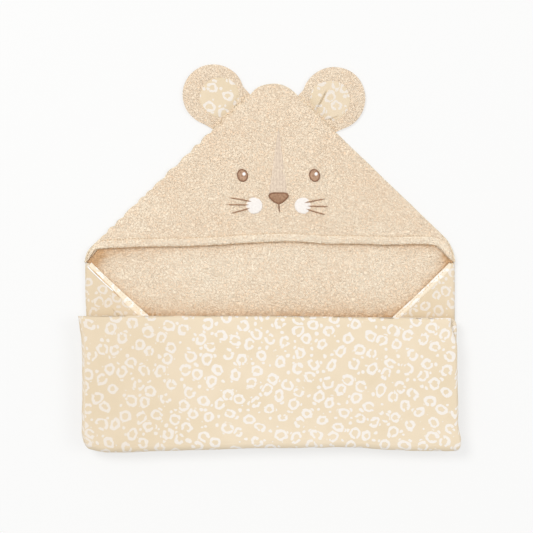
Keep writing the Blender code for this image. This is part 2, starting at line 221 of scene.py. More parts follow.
class Shader:
    """A material's nodes, made one at a time."""

    def __init__(self, name):
        self.material = bpy.data.materials.new(name)
        self.material.use_nodes = True
        self.tree = self.material.node_tree
        self.out = self.tree.nodes["Principled BSDF"]

    def put(self, node, inputs):
        for key, value in inputs.items():
            if isinstance(value, bpy.types.NodeSocket):
                self.tree.links.new(value, node.inputs[key])
            else:
                node.inputs[key].default_value = value

    def node(self, kind, inputs, **settings):
        made = self.tree.nodes.new("ShaderNode" + kind)
        for key, value in settings.items():
            setattr(made, key, value)
        self.put(made, inputs)
        return made

    def math(self, operation, a, b=0.0, clamp=False):
        return self.node("Math", {0: a, 1: b}, operation=operation, use_clamp=clamp).outputs[0]

    def add(self, first, *others):
        for other in others:
            first = self.math("ADD", first, other)
        return first

    def minus(self, a, b):
        return self.math("SUBTRACT", a, b)

    def times(self, a, b):
        return self.math("MULTIPLY", a, b)

    def vector(self, operation, a, b=None):
        """b is the other vector, or the factor of SCALE."""
        made = self.node("VectorMath", {0: a}, operation=operation)
        if b is not None:
            self.put(made, {"Scale" if operation == "SCALE" else 1: b})
        return made.outputs["Value" if operation == "LENGTH" else "Vector"]

    def mix(self, factor, a, b):
        made = self.node("Mix", {"Factor": factor, "A": a, "B": b}, data_type="RGBA")
        return made.outputs["Result"]

    def cloth(self):
        """Place on the cloth in millimetres, and the third value from 0 to 1."""
        where = self.node("Attribute", {}, attribute_name="cloth").outputs["Vector"]
        where = self.vector("SCALE", where, 1000.0)
        third = self.node("SeparateXYZ", {0: where}).outputs[2]
        return self.vector("MULTIPLY", where, (1.0, 1.0, 0.0)), third

    def texture(self, place, cell, detail=2.0):
        return self.node("TexNoise", {"Vector": place, "Scale": 1 / cell, "Detail": detail}).outputs["Fac"]

    def spread(self, value, low, high):
        """Value carried from low..high to 0..1."""
        return self.node("MapRange", {0: value, 1: low, 2: high}).outputs[0]

    def bump(self, height, distance, strength):
        made = self.node("Bump", {"Height": height, "Distance": distance, "Strength": strength})
        return made.outputs["Normal"]

    def finish(self, colour, normal, roughness, sheen, sheen_tint, specular=0.15):
        self.put(self.out, {
            "Base Color": colour,
            "Normal": normal,
            "Roughness": roughness,
            "Sheen Weight": sheen,
            "Sheen Roughness": 0.6,
            "Sheen Tint": rgba(sheen_tint),
            "Specular IOR Level": specular,
        })
        return self.material


def rgba(colour):
    """Colour from 0 to 255 as shown on a screen, as the shader wants it."""
    shown = [c / 255 for c in colour]
    return (*(c / 12.92 if c <= 0.04045 else ((c + 0.055) / 1.055) ** 2.4 for c in shown), 1)


def terry(name, light, dark, deep=(190, 150, 112), loop=1.8, depth=0.8):
    """Looped pile: loop is a loop's width and depth its height, in millimetres."""
    s = Shader(name)
    place, painted_shade = s.cloth()
    curl = s.node("TexNoise", {"Vector": place, "Scale": 0.75 / loop, "Detail": 1.0, "Distortion": 0.9})
    curl = s.math("ABSOLUTE", s.minus(curl.outputs["Fac"], 0.5))
    curl = s.minus(1.0, s.spread(curl, 0.0, 0.16))
    cells = s.node("TexVoronoi", {"Vector": place, "Scale": 1 / (0.8 * loop)}).outputs["Distance"]
    fuzz = s.texture(place, 0.6)
    broad = s.spread(s.texture(place, 52.0), 0.35, 0.65)
    patchy = s.spread(s.texture(place, 12.0, 3.0), 0.35, 0.65)
    height = s.add(s.minus(curl, s.times(cells, 0.5)), s.times(fuzz, 0.3))
    # shade darkens the pile between its loops, painted shade in its crevices, and adds tone that differs at
    # random.
    shade = s.times(s.minus(1.0, curl), 0.60)
    shade = s.add(shade, s.times(cells, 0.34), s.times(fuzz, 0.18))
    shade = s.add(shade, s.times(s.minus(patchy, 0.5), 0.10), s.times(s.minus(broad, 0.5), 0.16))
    colour = s.mix(s.spread(shade, 0.20, 1.0), rgba(light), rgba(dark))
    # Painted shade: the third cloth value mixes in deep, a darker colour for folds, the hem and the corners.
    colour = s.mix(s.spread(painted_shade, 0.0, 1.0), colour, rgba(deep))
    return s.finish(colour, s.bump(height, depth * MM, 0.9), 0.95, 0.12, (255, 244, 230))


RING_CELL = 17.8
SPOT_CELL = 8.4


def printed(name, ground, shaded, white, deep=(200, 178, 145)):
    """Fine cotton with a hand-drawn print of open rings and small spots between them."""
    s = Shader(name)
    flat, painted_shade = s.cloth()
    wander = s.node("TexNoise", {"Vector": flat, "Scale": 0.11, "Detail": 1.0})
    wander = s.vector("SUBTRACT", wander.outputs["Color"], (0.5, 0.5, 0.5))
    place = s.vector("ADD", flat, s.vector("MULTIPLY", wander, (4.5, 4.5, 0.0)))
    turned = s.node("VectorRotate", {"Vector": place, "Angle": 0.47}, rotation_type="Z_AXIS").outputs[0]

    spots = s.vector("SCALE", turned, 1 / RING_CELL)
    settings = {"Vector": spots, "Scale": 1.0, "Randomness": 0.48}
    cell = s.node("TexVoronoi", settings, voronoi_dimensions="2D")
    border = s.node("TexVoronoi", settings, voronoi_dimensions="2D", feature="DISTANCE_TO_EDGE")
    middle = cell.outputs["Position"]
    own = s.node("SeparateColor", {0: cell.outputs["Color"]}).outputs
    squash = s.times(own[1], 0.3)
    squash = s.node("CombineXYZ", {0: s.add(0.86, squash), 1: s.minus(1.14, squash)}).outputs[0]
    reach = s.vector("MULTIPLY", s.vector("SUBTRACT", spots, middle), squash)
    far = s.vector("LENGTH", reach)
    turn = s.vector("NORMALIZE", reach)

    def by_angle(size, shift, sharp):
        at = s.vector("ADD", s.vector("SCALE", turn, size), s.vector("SCALE", middle, shift))
        return s.texture(at, 1 / sharp, 1.0)

    broken = s.add(by_angle(0.8, 5.3, 1.0), s.times(own[2], 0.10))
    radius = s.add(0.185, s.times(own[0], 0.055))
    radius = s.add(radius, s.times(by_angle(1.0, 3.1, 1.6), 0.09))
    width = s.add(0.035, s.times(by_angle(1.0, 7.7, 1.5), 0.11))
    width = s.times(s.spread(broken, 0.39, 0.46), width)
    ring = s.math("ABSOLUTE", s.minus(far, radius))
    stroke = s.math("DIVIDE", s.minus(width, ring), 0.028)
    stroke = s.math("ADD", stroke, 0.35, clamp=True)
    stroke = s.times(stroke, s.spread(border.outputs["Distance"], 0.012, 0.05))

    small = s.vector("SCALE", s.vector("ADD", place, (31.0, 17.0, 0.0)), 1 / SPOT_CELL)
    dot = s.node("TexVoronoi", {"Vector": small, "Scale": 1.0}, voronoi_dimensions="2D")
    size = s.node("SeparateColor", {0: dot.outputs["Color"]}).outputs[1]
    size = s.times(s.spread(size, 0.15, 0.75), 0.26)
    dots = s.math("DIVIDE", s.minus(size, dot.outputs["Distance"]), 0.05, clamp=True)
    dots = s.times(dots, s.spread(far, 0.38, 0.42))

    ink = s.add(0.62, s.times(s.texture(flat, 1.3), 0.5))
    white_at = s.math("MINIMUM", s.times(s.math("MAXIMUM", stroke, dots), ink), 1.0)
    base = s.mix(s.spread(s.texture(flat, 60.0, 3.0), 0.35, 0.7), rgba(ground), rgba(shaded))
    colour = s.mix(white_at, base, rgba(white))
    # Painted shade: the third cloth value mixes in deep, a darker colour, on the band's left end, the flaps
    # and the ear patches.
    colour = s.mix(s.spread(painted_shade, 0.0, 1.0), colour, rgba(deep))
    yarn = {"Vector": flat, "Scale": 0.36, "Distortion": 0.6}
    across, along = (s.node("TexWave", yarn, bands_direction=way).outputs["Fac"] for way in "XY")
    weave = s.add(s.times(across, along), s.times(s.texture(flat, 2.2, 3.0), 0.8))
    return s.finish(colour, s.bump(weave, 0.22 * MM, 0.45), 0.88, 0.08, (255, 250, 240))


def thread(name, light, dark, pitch=0.55, depth=0.25, roughness=0.5, fade=None):
    """Satin stitches along the cloth's first direction. They fade as its third value reaches 1."""
    s = Shader(name)
    place, edge = s.cloth()
    lay = {"Vector": place, "Scale": 0.314 / pitch, "Distortion": 1.5, "Detail": 2.0}
    rib = s.node("TexWave", lay, bands_direction="Y").outputs["Fac"]
    fibre = s.texture(s.vector("MULTIPLY", place, (0.4, 2.0, 1.0)), 0.9, 3.0)
    blend = s.add(s.times(rib, 0.30), s.times(fibre, 0.55))
    blend = s.add(blend, s.times(s.texture(place, 2.6), 0.55))
    colour = s.mix(s.spread(blend, 0.48, 0.94), rgba(dark), rgba(light))
    if fade:
        streak = s.texture(s.vector("MULTIPLY", place, (0.35, 1.4, 1.0)), 1.6)
        thin = s.spread(s.add(edge, s.times(s.minus(streak, 0.5), 1.6)), 0.55, 1.0)
        colour = s.mix(thin, colour, rgba(fade))
    return s.finish(colour, s.bump(blend, depth * MM, 0.7), roughness, 0.05, (255, 250, 240), 0.35)


TERRY = terry("terry_hood", (254, 238, 214), (242, 213, 182), loop=1.55)
TERRY_EAR = terry("terry_ear", (249, 233, 210), (236, 209, 179), loop=1.5, depth=0.7)
# The third colour of terry_inner and terry_hem is deep, the colour of their painted shade.
TERRY_INNER = terry("terry_inner", (255, 242, 220), (246, 219, 189), (218, 177, 134), loop=1.65)
TERRY_HEM = terry("terry_hem", (254, 241, 219), (245, 218, 188), (252, 212, 162), loop=1.5, depth=0.7)
PRINT = printed("printed_cotton", (230, 214, 189), (224, 207, 179), (237, 232, 227))
BINDING = printed("binding_print", (243, 230, 208), (238, 223, 199), (250, 247, 242))
EDGE = terry("turned_edge", (250, 238, 216), (230, 206, 170), loop=1.8, depth=0.6)
BROWN = thread("brown_thread", (208, 172, 142), (134, 96, 72), 0.9, 0.3, 0.6)
DARK = thread("dark_brown_thread", (188, 150, 120), (124, 87, 62), 0.9, 0.3, 0.6)
RIM = thread("brown_rim_thread", (152, 112, 84), (120, 83, 60), 0.7, 0.25, 0.6)
WHITE = thread("white_thread", (243, 238, 233), (229, 223, 218), 0.7, fade=(243, 225, 203))
GLINT = thread("glint_thread", (255, 255, 255), (248, 248, 248), 0.7)
TAUPE = thread("taupe_thread", (238, 221, 200), (190, 170, 152), 1.6, 0.35, 0.9, fade=(244, 225, 201))
STITCH = thread("sewing_thread", (236, 214, 184), (214, 186, 150), 0.4, 0.15)
# A tan cord's colour: painted shadow in the groove between the left binding and its flap.
GROOVE_SHADOW = thread("tan_groove_shadow", (226, 194, 150), (204, 168, 122), 0.4, 0.15, 0.8)

# ---------------------------------------------------------------- mesh making


def ring_faces(rings, around):
    """Faces between closed rings of points, ring after ring."""
    index = np.arange(rings * around).reshape(rings, around)
    a, b = index[:-1], index[1:]
    quads = np.stack([a, np.roll(a, -1, 1), np.roll(b, -1, 1), b], 2).reshape(-1, 4)
    return [tuple(q) for q in quads.tolist()]


def build(name, verts, faces, mat, cloth, flat_from=None):
    """A closed mesh, its faces outward. Faces from flat_from on are not smoothed."""
    verts = np.asarray(verts, float).reshape(-1, 3)
    p = verts[np.array([f for f in faces if len(f) == 4])] - verts.mean(0)
    volume = sum(np.einsum("ij,ij->i", p[:, 0], np.cross(p[:, k], p[:, k + 1])).sum() for k in (1, 2))
    if volume < 0:
        faces = [f[::-1] for f in faces]
    mesh = bpy.data.meshes.new(name)
    mesh.from_pydata(verts.tolist(), [], faces)
    soft = np.ones(len(mesh.polygons), bool)
    if flat_from is not None:
        soft[flat_from:] = False
    mesh.polygons.foreach_set("use_smooth", soft)
    place = mesh.attributes.new("cloth", "FLOAT_VECTOR", "POINT")
    place.data.foreach_set("vector", np.asarray(cloth, np.float32).reshape(-1))
    mesh.materials.append(mat)
    made = bpy.data.objects.new(name, mesh)
    bpy.context.scene.collection.objects.link(made)
    return made


def slab(name, top, bottom, mat, cloth):
    """A closed sheet between two grids of points of one size."""
    rows, cols = top.shape[:2]
    count = rows * cols
    index = np.arange(count).reshape(rows, cols)
    quads = index[:-1, :-1].reshape(-1, 1) + np.array([0, 1, cols + 1, cols])
    rim = np.concatenate([index[0, :-1], index[:-1, -1], index[-1, :0:-1], index[:0:-1, 0]])
    after = np.roll(rim, -1)
    sides = np.stack([after, rim, rim + count, after + count], 1)
    faces = [tuple(q) for q in np.concatenate([quads, quads[:, ::-1] + count, sides]).tolist()]
    verts = np.concatenate([top.reshape(-1, 3), bottom.reshape(-1, 3)])
    return build(name, verts, faces, mat, np.concatenate([cloth.reshape(-1, 3)] * 2))


def tube(name, rings, mat, cloth):
    """A closed bar through rings of points (rings, around, 3), its ends closed by fans."""
    rows, around = rings.shape[:2]
    faces = ring_faces(rows, around)
    sides = len(faces)
    last, tip = (rows - 1) * around, rows * around
    for k in range(around):
        n = (k + 1) % around
        faces += [(n, k, tip), (last + k, last + n, tip + 1)]
    verts, place = (
        np.concatenate([grid.reshape(-1, 3), grid[0].mean(0)[None], grid[-1].mean(0)[None]])
        for grid in (rings, cloth)
    )
    return build(name, verts, faces, mat, place, sides)


def rings_along(path, across, height, way=None):
    """Rings round a path: how far to its left their points stand, and at what height."""
    way = directions(path[:, :2]) if way is None else way
    return points(path[:, :1] - way[:, 1:] * across, path[:, 1:2] + way[:, :1] * across, height)


def keep(obj, body, slot, *nodes):
    """Takes a piece's slot, which is not used, the body that it rides and the CAD nodes that it stands for,
    which it hides.
    """
    if nodes:
        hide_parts(*nodes)
    if body:
        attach(obj, body)


# ---------------------------------------------------------------- the folded bundle's own unevenness

# How far the two sides stand out and the lower fold stands up, in millimetres, at y or x in millimetres.
LEFT_EDGE = [
    (-210, 4.6), (-200, 2.6), (-190, 0.8), (-170, 1.0), (-140, 1.4), (-105, 1.2), (-85, 0.0), (-63, -2.9),
]
RIGHT_EDGE = [(-210, 3.2), (-204, 4.2), (-194, 3.9), (-183, 1.6), (-155, 0.9), (-110, 0.0), (-63, 0.2)]
FOOT = [
    (-205, 3.8), (-193, 1.4), (-178, -0.6), (-160, -0.6), (-128, 0.5), (-74, 2.1), (-20, 3.7),
    (33, 4.3), (87, 4.8), (118, 2.8), (141, 1.6), (173, 1.0), (205, 0.6),
]


def warp(p):
    """Moves every layer of the bundle together, so that layers which lie on each other still do."""
    x, y, z = p[..., 0], p[..., 1], p[..., 2]
    s = np.clip((x - LEFT_X) / (RIGHT_X - LEFT_X), 0, 1)
    ragged = 0.35 * MM * noise(y, 0, 9 * MM, 33)
    dx = (through(y, LEFT_EDGE) + ragged) * step(1 - s * 5)
    dx = dx + (through(y, RIGHT_EDGE) - ragged) * step(1 - (1 - s) * 5)
    foot = through(x, FOOT) + MM * (0.35 * noise(x, 0, 13 * MM, 34) + 0.2 * noise(x, 0, 5 * MM, 35))
    near_top = MM * ridge(y - BAND_TOP_Y + 1 * MM, 28 * MM)
    dy = foot * step((-0.150 - y) / 0.050)
    dy = dy + near_top * (0.3 * noise(x, 0, 16 * MM, 36) - 2.4 * step((x + 0.02) / 0.2))
    lift = 0.50 * noise(x, y, 74 * MM, 31) + 0.22 * noise(x, y, 31 * MM, 32)
    dz = 1.6 * MM * lift * np.clip(z / (30 * MM), 0, 1)
    return points(x + dx, y + dy, z + dz)


# ---------------------------------------------------------------- panels and the turns between them

COLS = 120
NOSE_STEPS = 9
LAYER_GAP = PITCH - 2 * NOSE_R
LAYER_ENDS = {0: (1.5, -0.5), 1: (0.0, 0.0), 2: (0.7, 0.0), 3: (0.0, 0.0)}
TUCK = 0.7 * MM
BAND_END_Y = BAND_TOP_Y + 1.0 * MM


def section(low_x, high_x):
    """Round a layer once: x and height from -1 to 1."""
    run = np.linspace(0, 1, COLS)
    turn = np.linspace(0, math.pi, NOSE_STEPS + 2)[1:-1]
    left, right = low_x + NOSE_R, high_x - NOSE_R
    nose = NOSE_R * np.sin(turn)
    x = np.concatenate([left + (right - left) * run, right + nose, right - (right - left) * run, left - nose])
    h = np.concatenate([np.ones(COLS), np.cos(turn), -np.ones(COLS), -np.cos(turn)])
    thin = np.clip(np.minimum(x - low_x, high_x - x) / 0.022, 0, 1)
    return x, h * (1 - 0.16 * (1 - thin) ** 2)


def layer_ends(number, y):
    """Left and right end of a layer at y."""
    low, high = LAYER_ENDS[number]
    if number == 2:
        low = low + 1.2 * step((y / MM + 110) / 40)
    if number == 3:
        high = high - 6.8 * step((y / MM + 95) / 27)
    return np.array([PANEL_LOW[0] + low * MM, PANEL_HIGH[0] + high * MM])


def layer_cloth(x, h, number, run, far, shown):
    """Cloth round a section, far along the layer. Each layer shows the side that the one below hides."""
    gone = np.concatenate([[0], np.cumsum(np.hypot(np.diff(x), NOSE_R * np.diff(h)))])
    if number % 2 == 0:
        gone = gone[2 * COLS + NOSE_STEPS - 1] - gone
    # The top layer gets painted shade towards its left end.
    shaded = 0.20 * MM * step((-0.04 - x) / 0.12) if shown else 0.0
    return points(gone, run[0] + (run[1] - run[0]) * (1 + h) / 2 + far, shaded)


def shrunk(x, h):
    """A section drawn in a little, for an end that is tucked inside the next piece."""
    return x.mean() + (x - x.mean()) * 0.996, h * 0.9


def panel(number, start_y, end_y, run):
    """The layer between two folds, as one soft sleeve. run is the cloth used so far, under and on top.

    The top layer starts tucked inside its turn, and it closes to a round edge at its end.
    """
    on_top = number == 3
    stops = np.linspace(start_y, end_y, 72)
    if on_top:
        stops = np.append(start_y - TUCK, stops)
    rings, cloths = [], []
    for y in stops:
        x, h = section(*layer_ends(number, y))
        cloths.append(layer_cloth(x, h, number, run, abs(y - start_y), on_top))
        if on_top:
            close = min((end_y - y) / (NOSE_R * 1.3), 1)
            h = h * math.sqrt(max(1 - (1 - close) ** 2, 0.02))
        if on_top and y < start_y:
            x, h = shrunk(x, h)
        rings.append(points(x, y, PITCH * number + NOSE_R + NOSE_R * h))
    made = tube(f"panel_{number}_cloth", warp(np.array(rings)), PRINT, np.array(cloths))
    keep(made, f"panel_{number}", "printed_cotton", f"panel_{number}_print", f"panel_{number}_core")
    wide, long = PANEL_HIGH[0] - PANEL_LOW[0], abs(end_y - start_y)
    return run[0] + long, run[1] + long


def turn_over(number, y, side, run):
    """The rounded fold between the layer below and the layer above it, its ends tucked into both."""
    gap = LAYER_GAP / 2
    axis_z = PITCH * number - gap
    below, above = layer_ends(number - 1, y), layer_ends(number, y)
    over = TUCK / (gap + NOSE_R) / math.pi
    rings, cloths = [], []
    for turned in (-over, *np.linspace(0, 1, 25), 1 + over):
        share = min(max(turned, 0), 1)
        angle = math.pi * share
        pull = 1.2 * MM * math.sin(angle)
        x, h = section(*((1 - share) * below + share * above + (pull, -pull)))
        gone = (gap + NOSE_R * (1 - h)) * angle
        cloths.append(layer_cloth(x, h, number - 1, run, gone, number == 3))
        if turned != share:
            x, h = shrunk(x, h)
        reach = gap + NOSE_R * (1 - h)
        tucked = abs(turned - share) * math.pi * (gap + NOSE_R)
        out = side * (reach * math.sin(angle) - tucked)
        rings.append(points(x, y + out, axis_z - reach * math.cos(angle)))
    made = tube(f"fold_{number}_turn", warp(np.array(rings)), PRINT, np.array(cloths))
    keep(made, None, "printed_cotton", f"fold_{number}_wrap")
    far = gap + NOSE_R * 2
    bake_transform(made)
    return run[1] + math.pi * gap, run[0] + math.pi * far


def band():
    used = (0.20, 0.20)
    stops = (BOTTOM_FOLD_Y, TOP_FOLD_Y, BOTTOM_FOLD_Y, BAND_END_Y)
    for number, (start_y, end_y) in enumerate(zip(stops, stops[1:]), 1):
        used = turn_over(number, start_y, 1 if start_y == TOP_FOLD_Y else -1, used)
        used = panel(number, start_y, end_y, used)


# ---------------------------------------------------------------- the towel's back

LOWEST_ROW = BACK_LOW_Y - 0.5 * MM
FLAP_EDGE_AT = {-1: (-185.3 * MM, -11.2 * MM, 1.076), 1: (186.0 * MM, -13.9 * MM, 1.045)}
HEM = [
    (-200, -5.2), (-197, -3.0), (-194.9, -0.6), (-192.2, 3.6), (-189.8, 7.0), (-187, 9.0), (-181.8, 10.0),
    (-160.3, 11.3), (-138.8, 12.2), (-117.3, 12.4), (-95.8, 12.6), (-74.3, 13.5), (-52.8, 14.2),
    (-31.3, 16.0), (-9.8, 17.2), (11.7, 18.0), (33.2, 17.6), (54.7, 16.0), (76.2, 15.3), (97.7, 15.1),
    (119.2, 14.6), (140.7, 14.5), (162.2, 15.2), (173.7, 14.6), (179.4, 13.6), (183.7, 11.8),
    (187.2, 8.4), (189.8, 5.2), (192.4, 1.8), (197.0, -2.4), (201, -5.2),
]
# Spots of painted shade at the hood's lower corners: how deep, middle and reach.
CORNER_SHADE_SPOTS = (
    (1.1, -0.192, 0.000, 0.0095, 0.0095),
    (0.5, -0.182, 0.006, 0.016, 0.008),
    (0.5, 0.190, 0.000, 0.006, 0.008),
)


def rows_between(*stops):
    """y values through stops of (y, spacing)."""
    made = [stops[0][0]]
    for (start, gap), (end, _) in zip(stops, stops[1:]):
        count = max(1, round((end - start) / gap))
        made += list(np.linspace(start, end, count + 1)[1:])
    return np.array(made)


def full_width(rows, cols, inset_root, inset_hood):
    """A grid over the whole back, from the lower fold to the hood's tip."""
    inset = inset_root + (inset_hood - inset_root) * step((rows - NECK_Y + 0.012) / 0.012)
    left, right = (
        np.where(rows < NECK_Y, SIDE_X[side] - side * inset, edge_x(rows, side, inset_hood))
        for side in (-1, 1)
    )
    x = left[:, None] + (right - left)[:, None] * np.linspace(0, 1, cols)
    return x, np.repeat(rows[:, None], cols, 1)


def inner_height(x, y):
    """Top of the towel's inner terry, with the soft hollows of cloth that has been laid by hand."""
    wave = 0.75 * noise(x, y, 46 * MM, 41) + 0.4 * noise(x, y, 19 * MM, 42)
    under_hood = step((y - 0.02) / 0.02)
    return BACK_TOP - 0.4 * MM + MM * wave * (1 - 0.7 * under_hood)


def hem_y(x):
    """y of the hood's lower edge."""
    uneven = 0.30 * noise(x, 0, 17 * MM, 71) + 0.16 * noise(x, 0, 4 * MM, 70)
    return through(x, HEM) + MM * uneven * step((0.185 - np.abs(x)) / 0.01)


def flap_edge(y, side):
    """x of the flap's free edge at each y."""
    x0, y0, slope = FLAP_EDGE_AT[side]
    return x0 - side * ((y0 - y) * slope - 0.5 * MM * np.sin((y0 - y) / 0.013))


def painted_shade(x, y):
    """Painted shade on the inner terry, from 0 to 1: by the flaps, under the hem, by the band and in the
    corners.
    """
    left, right = (0.7 * side * (flap_edge(y, side) - x) for side in (-1, 1))
    by_flap = fading(left, 7 * MM) + fading(right, 5 * MM)
    to_side = step((np.abs(x) / MM - 110) / 60)
    to_left = step((-x / MM - 100) / 50)
    to_hem = hem_y(x) - y
    by_hem = (0.42 + 0.14 * to_left) * fading(to_hem, MM * (3.2 + 4.0 * to_side + 3.0 * to_left))
    from_band = y - BAND_TOP_Y + 0.5 * MM
    by_band = fading(from_band, 9 * MM) * step(1 + from_band / (5 * MM))
    corners = sum(deep * bump_at(x, y, *spot) for deep, *spot in CORNER_SHADE_SPOTS)
    corners = corners + 0.45 * step((x - 0.150) / 0.02) * fading(to_hem, 2.4 * MM)
    corners = corners + 0.35 * step((y + 0.05) / 0.03) * fading(right, 2.6 * MM)
    rough = 0.5 * noise(x, y, 2.6 * MM, 45)
    deep = (0.42 * by_flap + by_hem + 0.72 * by_band) * (1 + rough) + corners * (1 + 0.3 * rough)
    return np.clip(deep, 0, 1)


def bend_at_neck(made):
    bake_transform(made)


def back():
    """The whole diamond of cloth under the bundle and behind the hood: inner terry and outer print."""
    rows = rows_between((LOWEST_ROW, 8 * MM), (-0.072, 1.25 * MM), (0.030, 5 * MM), (APEX_TOP - 5 * MM, 1))
    x, y = full_width(rows, 300, 2.0 * MM, 2.0 * MM)
    top = inner_height(x, y) + 0.6 * pile(x, y, 50) * step((0.03 - y) / 0.01) * step((y + 0.08) / 0.01)
    # The third cloth value is painted shade by the flaps, the hem, the band and the corners.
    cloth = points(x, y, painted_shade(x, y) * MM)
    inner = slab("towel_inner_terry", points(x, y, top), points(x, y, 1.25 * MM), TERRY_INNER, cloth)
    keep(inner, None, "terry_inner", "back_terry", "hood_back_terry")
    bend_at_neck(inner)

    rows = rows_between((LOWEST_ROW, 6 * MM), (-0.030, 2 * MM), (0.020, 6 * MM), (APEX_TOP - 2 * MM, 1))
    x, y = full_width(rows, 90, 3.0 * MM, 1.0 * MM)
    lift = 0.12 * MM * (1 + noise(x, y, 23 * MM, 44))
    cloth = points(x, -y, 0.0)
    outer = slab("towel_outer_print", points(x, y, lift + 1.0 * MM), points(x, y, 0.0), PRINT, cloth)
    keep(outer, None, "printed_cotton", "back_print", "hood_back_print")
    bend_at_neck(outer)


# ---------------------------------------------------------------- side flaps, their folds and bound edges

FOLD_R = 3.55 * MM
BIND_W = 6.4 * MM
FLAP_CREASE = (-166.5 * MM, -59.5 * MM)


def flap_crease(x, y):
    """A slanting crease in the left flap: its groove and the low ridge beside it, in metres."""
    dx, dy = x - FLAP_CREASE[0], y - FLAP_CREASE[1]
    off, along = dx * 0.70 + dy * 0.714, dx * 0.714 - dy * 0.70
    start = step((along + 6 * MM) / (4 * MM))
    groove = ridge(off, 0.8 * MM) * step((9 * MM - along) / (6 * MM))
    return MM * start * (0.5 * ridge(off - 2.2 * MM, 1.6 * MM) - groove)


def flap(side, name):
    """A side corner folded in: printed cotton round the fold, and terry under it. out is side times x."""
    on_left = side < 0
    rows = rows_between((LOWEST_ROW, 5 * MM), (-0.075, 1.3 * MM), (NECK_Y - 0.3 * MM, 1))
    fold = side * SIDE_X[side] - on_left * 1.6 * MM * step((-0.030 - rows) / 0.05)
    centre = fold - FOLD_R
    free = side * flap_edge(rows, side)
    end = np.minimum(np.maximum(free + BIND_W * 0.5 / COS, 0.4 * MM), centre - 0.5 * MM)
    turn = np.linspace(-math.pi / 2, math.pi / 2, 13)
    run = np.linspace(0, 1, 90)[1:]
    layers = []
    for r in (FOLD_R, FOLD_R - 0.9 * MM):
        out = np.concatenate([
            centre[:, None] + r * np.cos(turn),
            centre[:, None] + (end - centre)[:, None] * run,
        ], 1)
        z = FOLD_R + r * np.concatenate([np.sin(turn), np.ones(len(run))])
        x, y = side * out, np.repeat(rows[:, None], out.shape[1], 1)
        sag = 0.55 * MM * noise(x, y, 21 * MM, 61) - 0.3 * MM
        if on_left:
            sag = sag + flap_crease(x, y)
        inward = step(np.abs(out - fold[:, None]) / (30 * MM)) * step((z - FOLD_R) / FOLD_R)
        layers.append(points(x, y, z + sag * inward))
    run_x, run_z = (np.diff(layers[0][..., k], axis=1) for k in (0, 2))
    gone = np.concatenate([np.zeros((len(rows), 1)), np.cumsum(np.hypot(run_x, run_z), 1)], 1)
    # Painted shade over the whole flap, more on the left one and more towards the band's top edge.
    from_band = rows[:, None] - BAND_TOP_Y + 1.5 * MM
    near_band = fading(from_band, 4 * MM) * step(1 + from_band / (5 * MM))
    shaded = ((0.25 if on_left else 0.15) + 0.45 * near_band) * MM
    cloth = points(1.15 * (0.105 + gone + side * 0.3), layers[0][..., 1] * 1.15, shaded)
    made = slab(f"{name}_flap_cloth", layers[0], layers[1], PRINT, cloth)
    keep(made, "towel_back", "printed_cotton", f"{name}_flap_print", f"{name}_side_fold")

    start = centre + 1.2 * MM
    end = np.minimum(np.maximum(free + 1.6 * MM, 0.5 * MM), start - 0.4 * MM)
    x = side * (start[:, None] + (end - start)[:, None] * np.linspace(0, 1, 40))
    y = np.repeat(rows[:, None], 40, 1)
    over = points(x, y, 5.4 * MM + 0.2 * MM * noise(x, y, 3 * MM, 62))
    made = slab(f"{name}_flap_terry_ply", over, points(x, y, 4.15 * MM), TERRY_INNER, points(x, y, 0.0))
    keep(made, "towel_back", "terry_inner", f"{name}_flap_terry")


def binding(side, name):
    """The turned and stitched edge of the flap: a soft flat band with a piped rim."""
    x0, y0, slope = FLAP_EDGE_AT[side]
    last = y0 - (abs(x0) - 3 * MM) / slope
    y = np.linspace(NECK_Y + 0.2 * MM, max(last, BOTTOM_FOLD_Y + 2 * MM), 260)
    x = flap_edge(y, side)
    wide = MM * (5.3 + 2.6 * step((-0.026 - y) / 0.022)) if side < 0 else np.full_like(y, BIND_W)
    path = np.stack([x, y], 1)
    across, v = cushion(full_turn(32), 0.7)
    share = 0.5 * (1 - across)
    groove = ridge(share - 0.36, 0.07) * (v > 0) * (0.55 if side > 0 else 0.3)
    taper = np.clip(np.minimum(np.abs(x - SIDE_X[side]) * 0.66, wide) / wide, 0.4, 1)
    reach = share * (wide * taper * (1 + 0.05 * noise(y, 0, 7 * MM, 63)))[:, None]
    rough = 0.12 * MM * noise(y[:, None], share * wide[:, None], 4 * MM, 64)
    rings = rings_along(path, side * reach, 5.75 * MM + 1.65 * MM * v - 0.9 * MM * groove + rough)
    on_cloth = wide[:, None] * share * np.sign(v + 1e-6)
    cloth = points(gone_along(path)[:, None] + 0.037, 0.4 + 0.031 * side + on_cloth, 0.0)
    keep(tube(f"{name}_flap_binding", rings, BINDING, cloth), "towel_back", "binding", f"{name}_flap_edge")
    seam = rings_along(path, side * 0.36 * (wide * taper)[:, None], 6.95 * MM)[:, 0]
    stitch_line(f"{name}_binding_stitches", "towel_back", seam[8:], 2.4 * MM, 0.9 * MM, 0.30 * MM)


# Two short cords beside the left binding: a tan one in the groove between binding and flap, a painted shadow
# line, and a white one along the flap. Ends in millimetres, thickness and material.
LEFT_CORDS = (
    ("binding_groove_shadow", (-190.2, -12.9), (-160.6, -43.4), 0.42, GROOVE_SHADOW),
    ("flap_rib", (-197.4, -8.3), (-166.9, -37.1), 0.70, GLINT),
)


def short_cords():
    t = np.linspace(0, 1, 60)
    for part, start, end, radius, mat in LEFT_CORDS:
        x, y = (MM * (a + (b - a) * t) for a, b in zip(start, end))
        path = points(x, y - 0.5 * MM * np.sin(math.pi * t), 7.35 * MM)
        cord(f"left_{part}", path, radius * MM, mat)


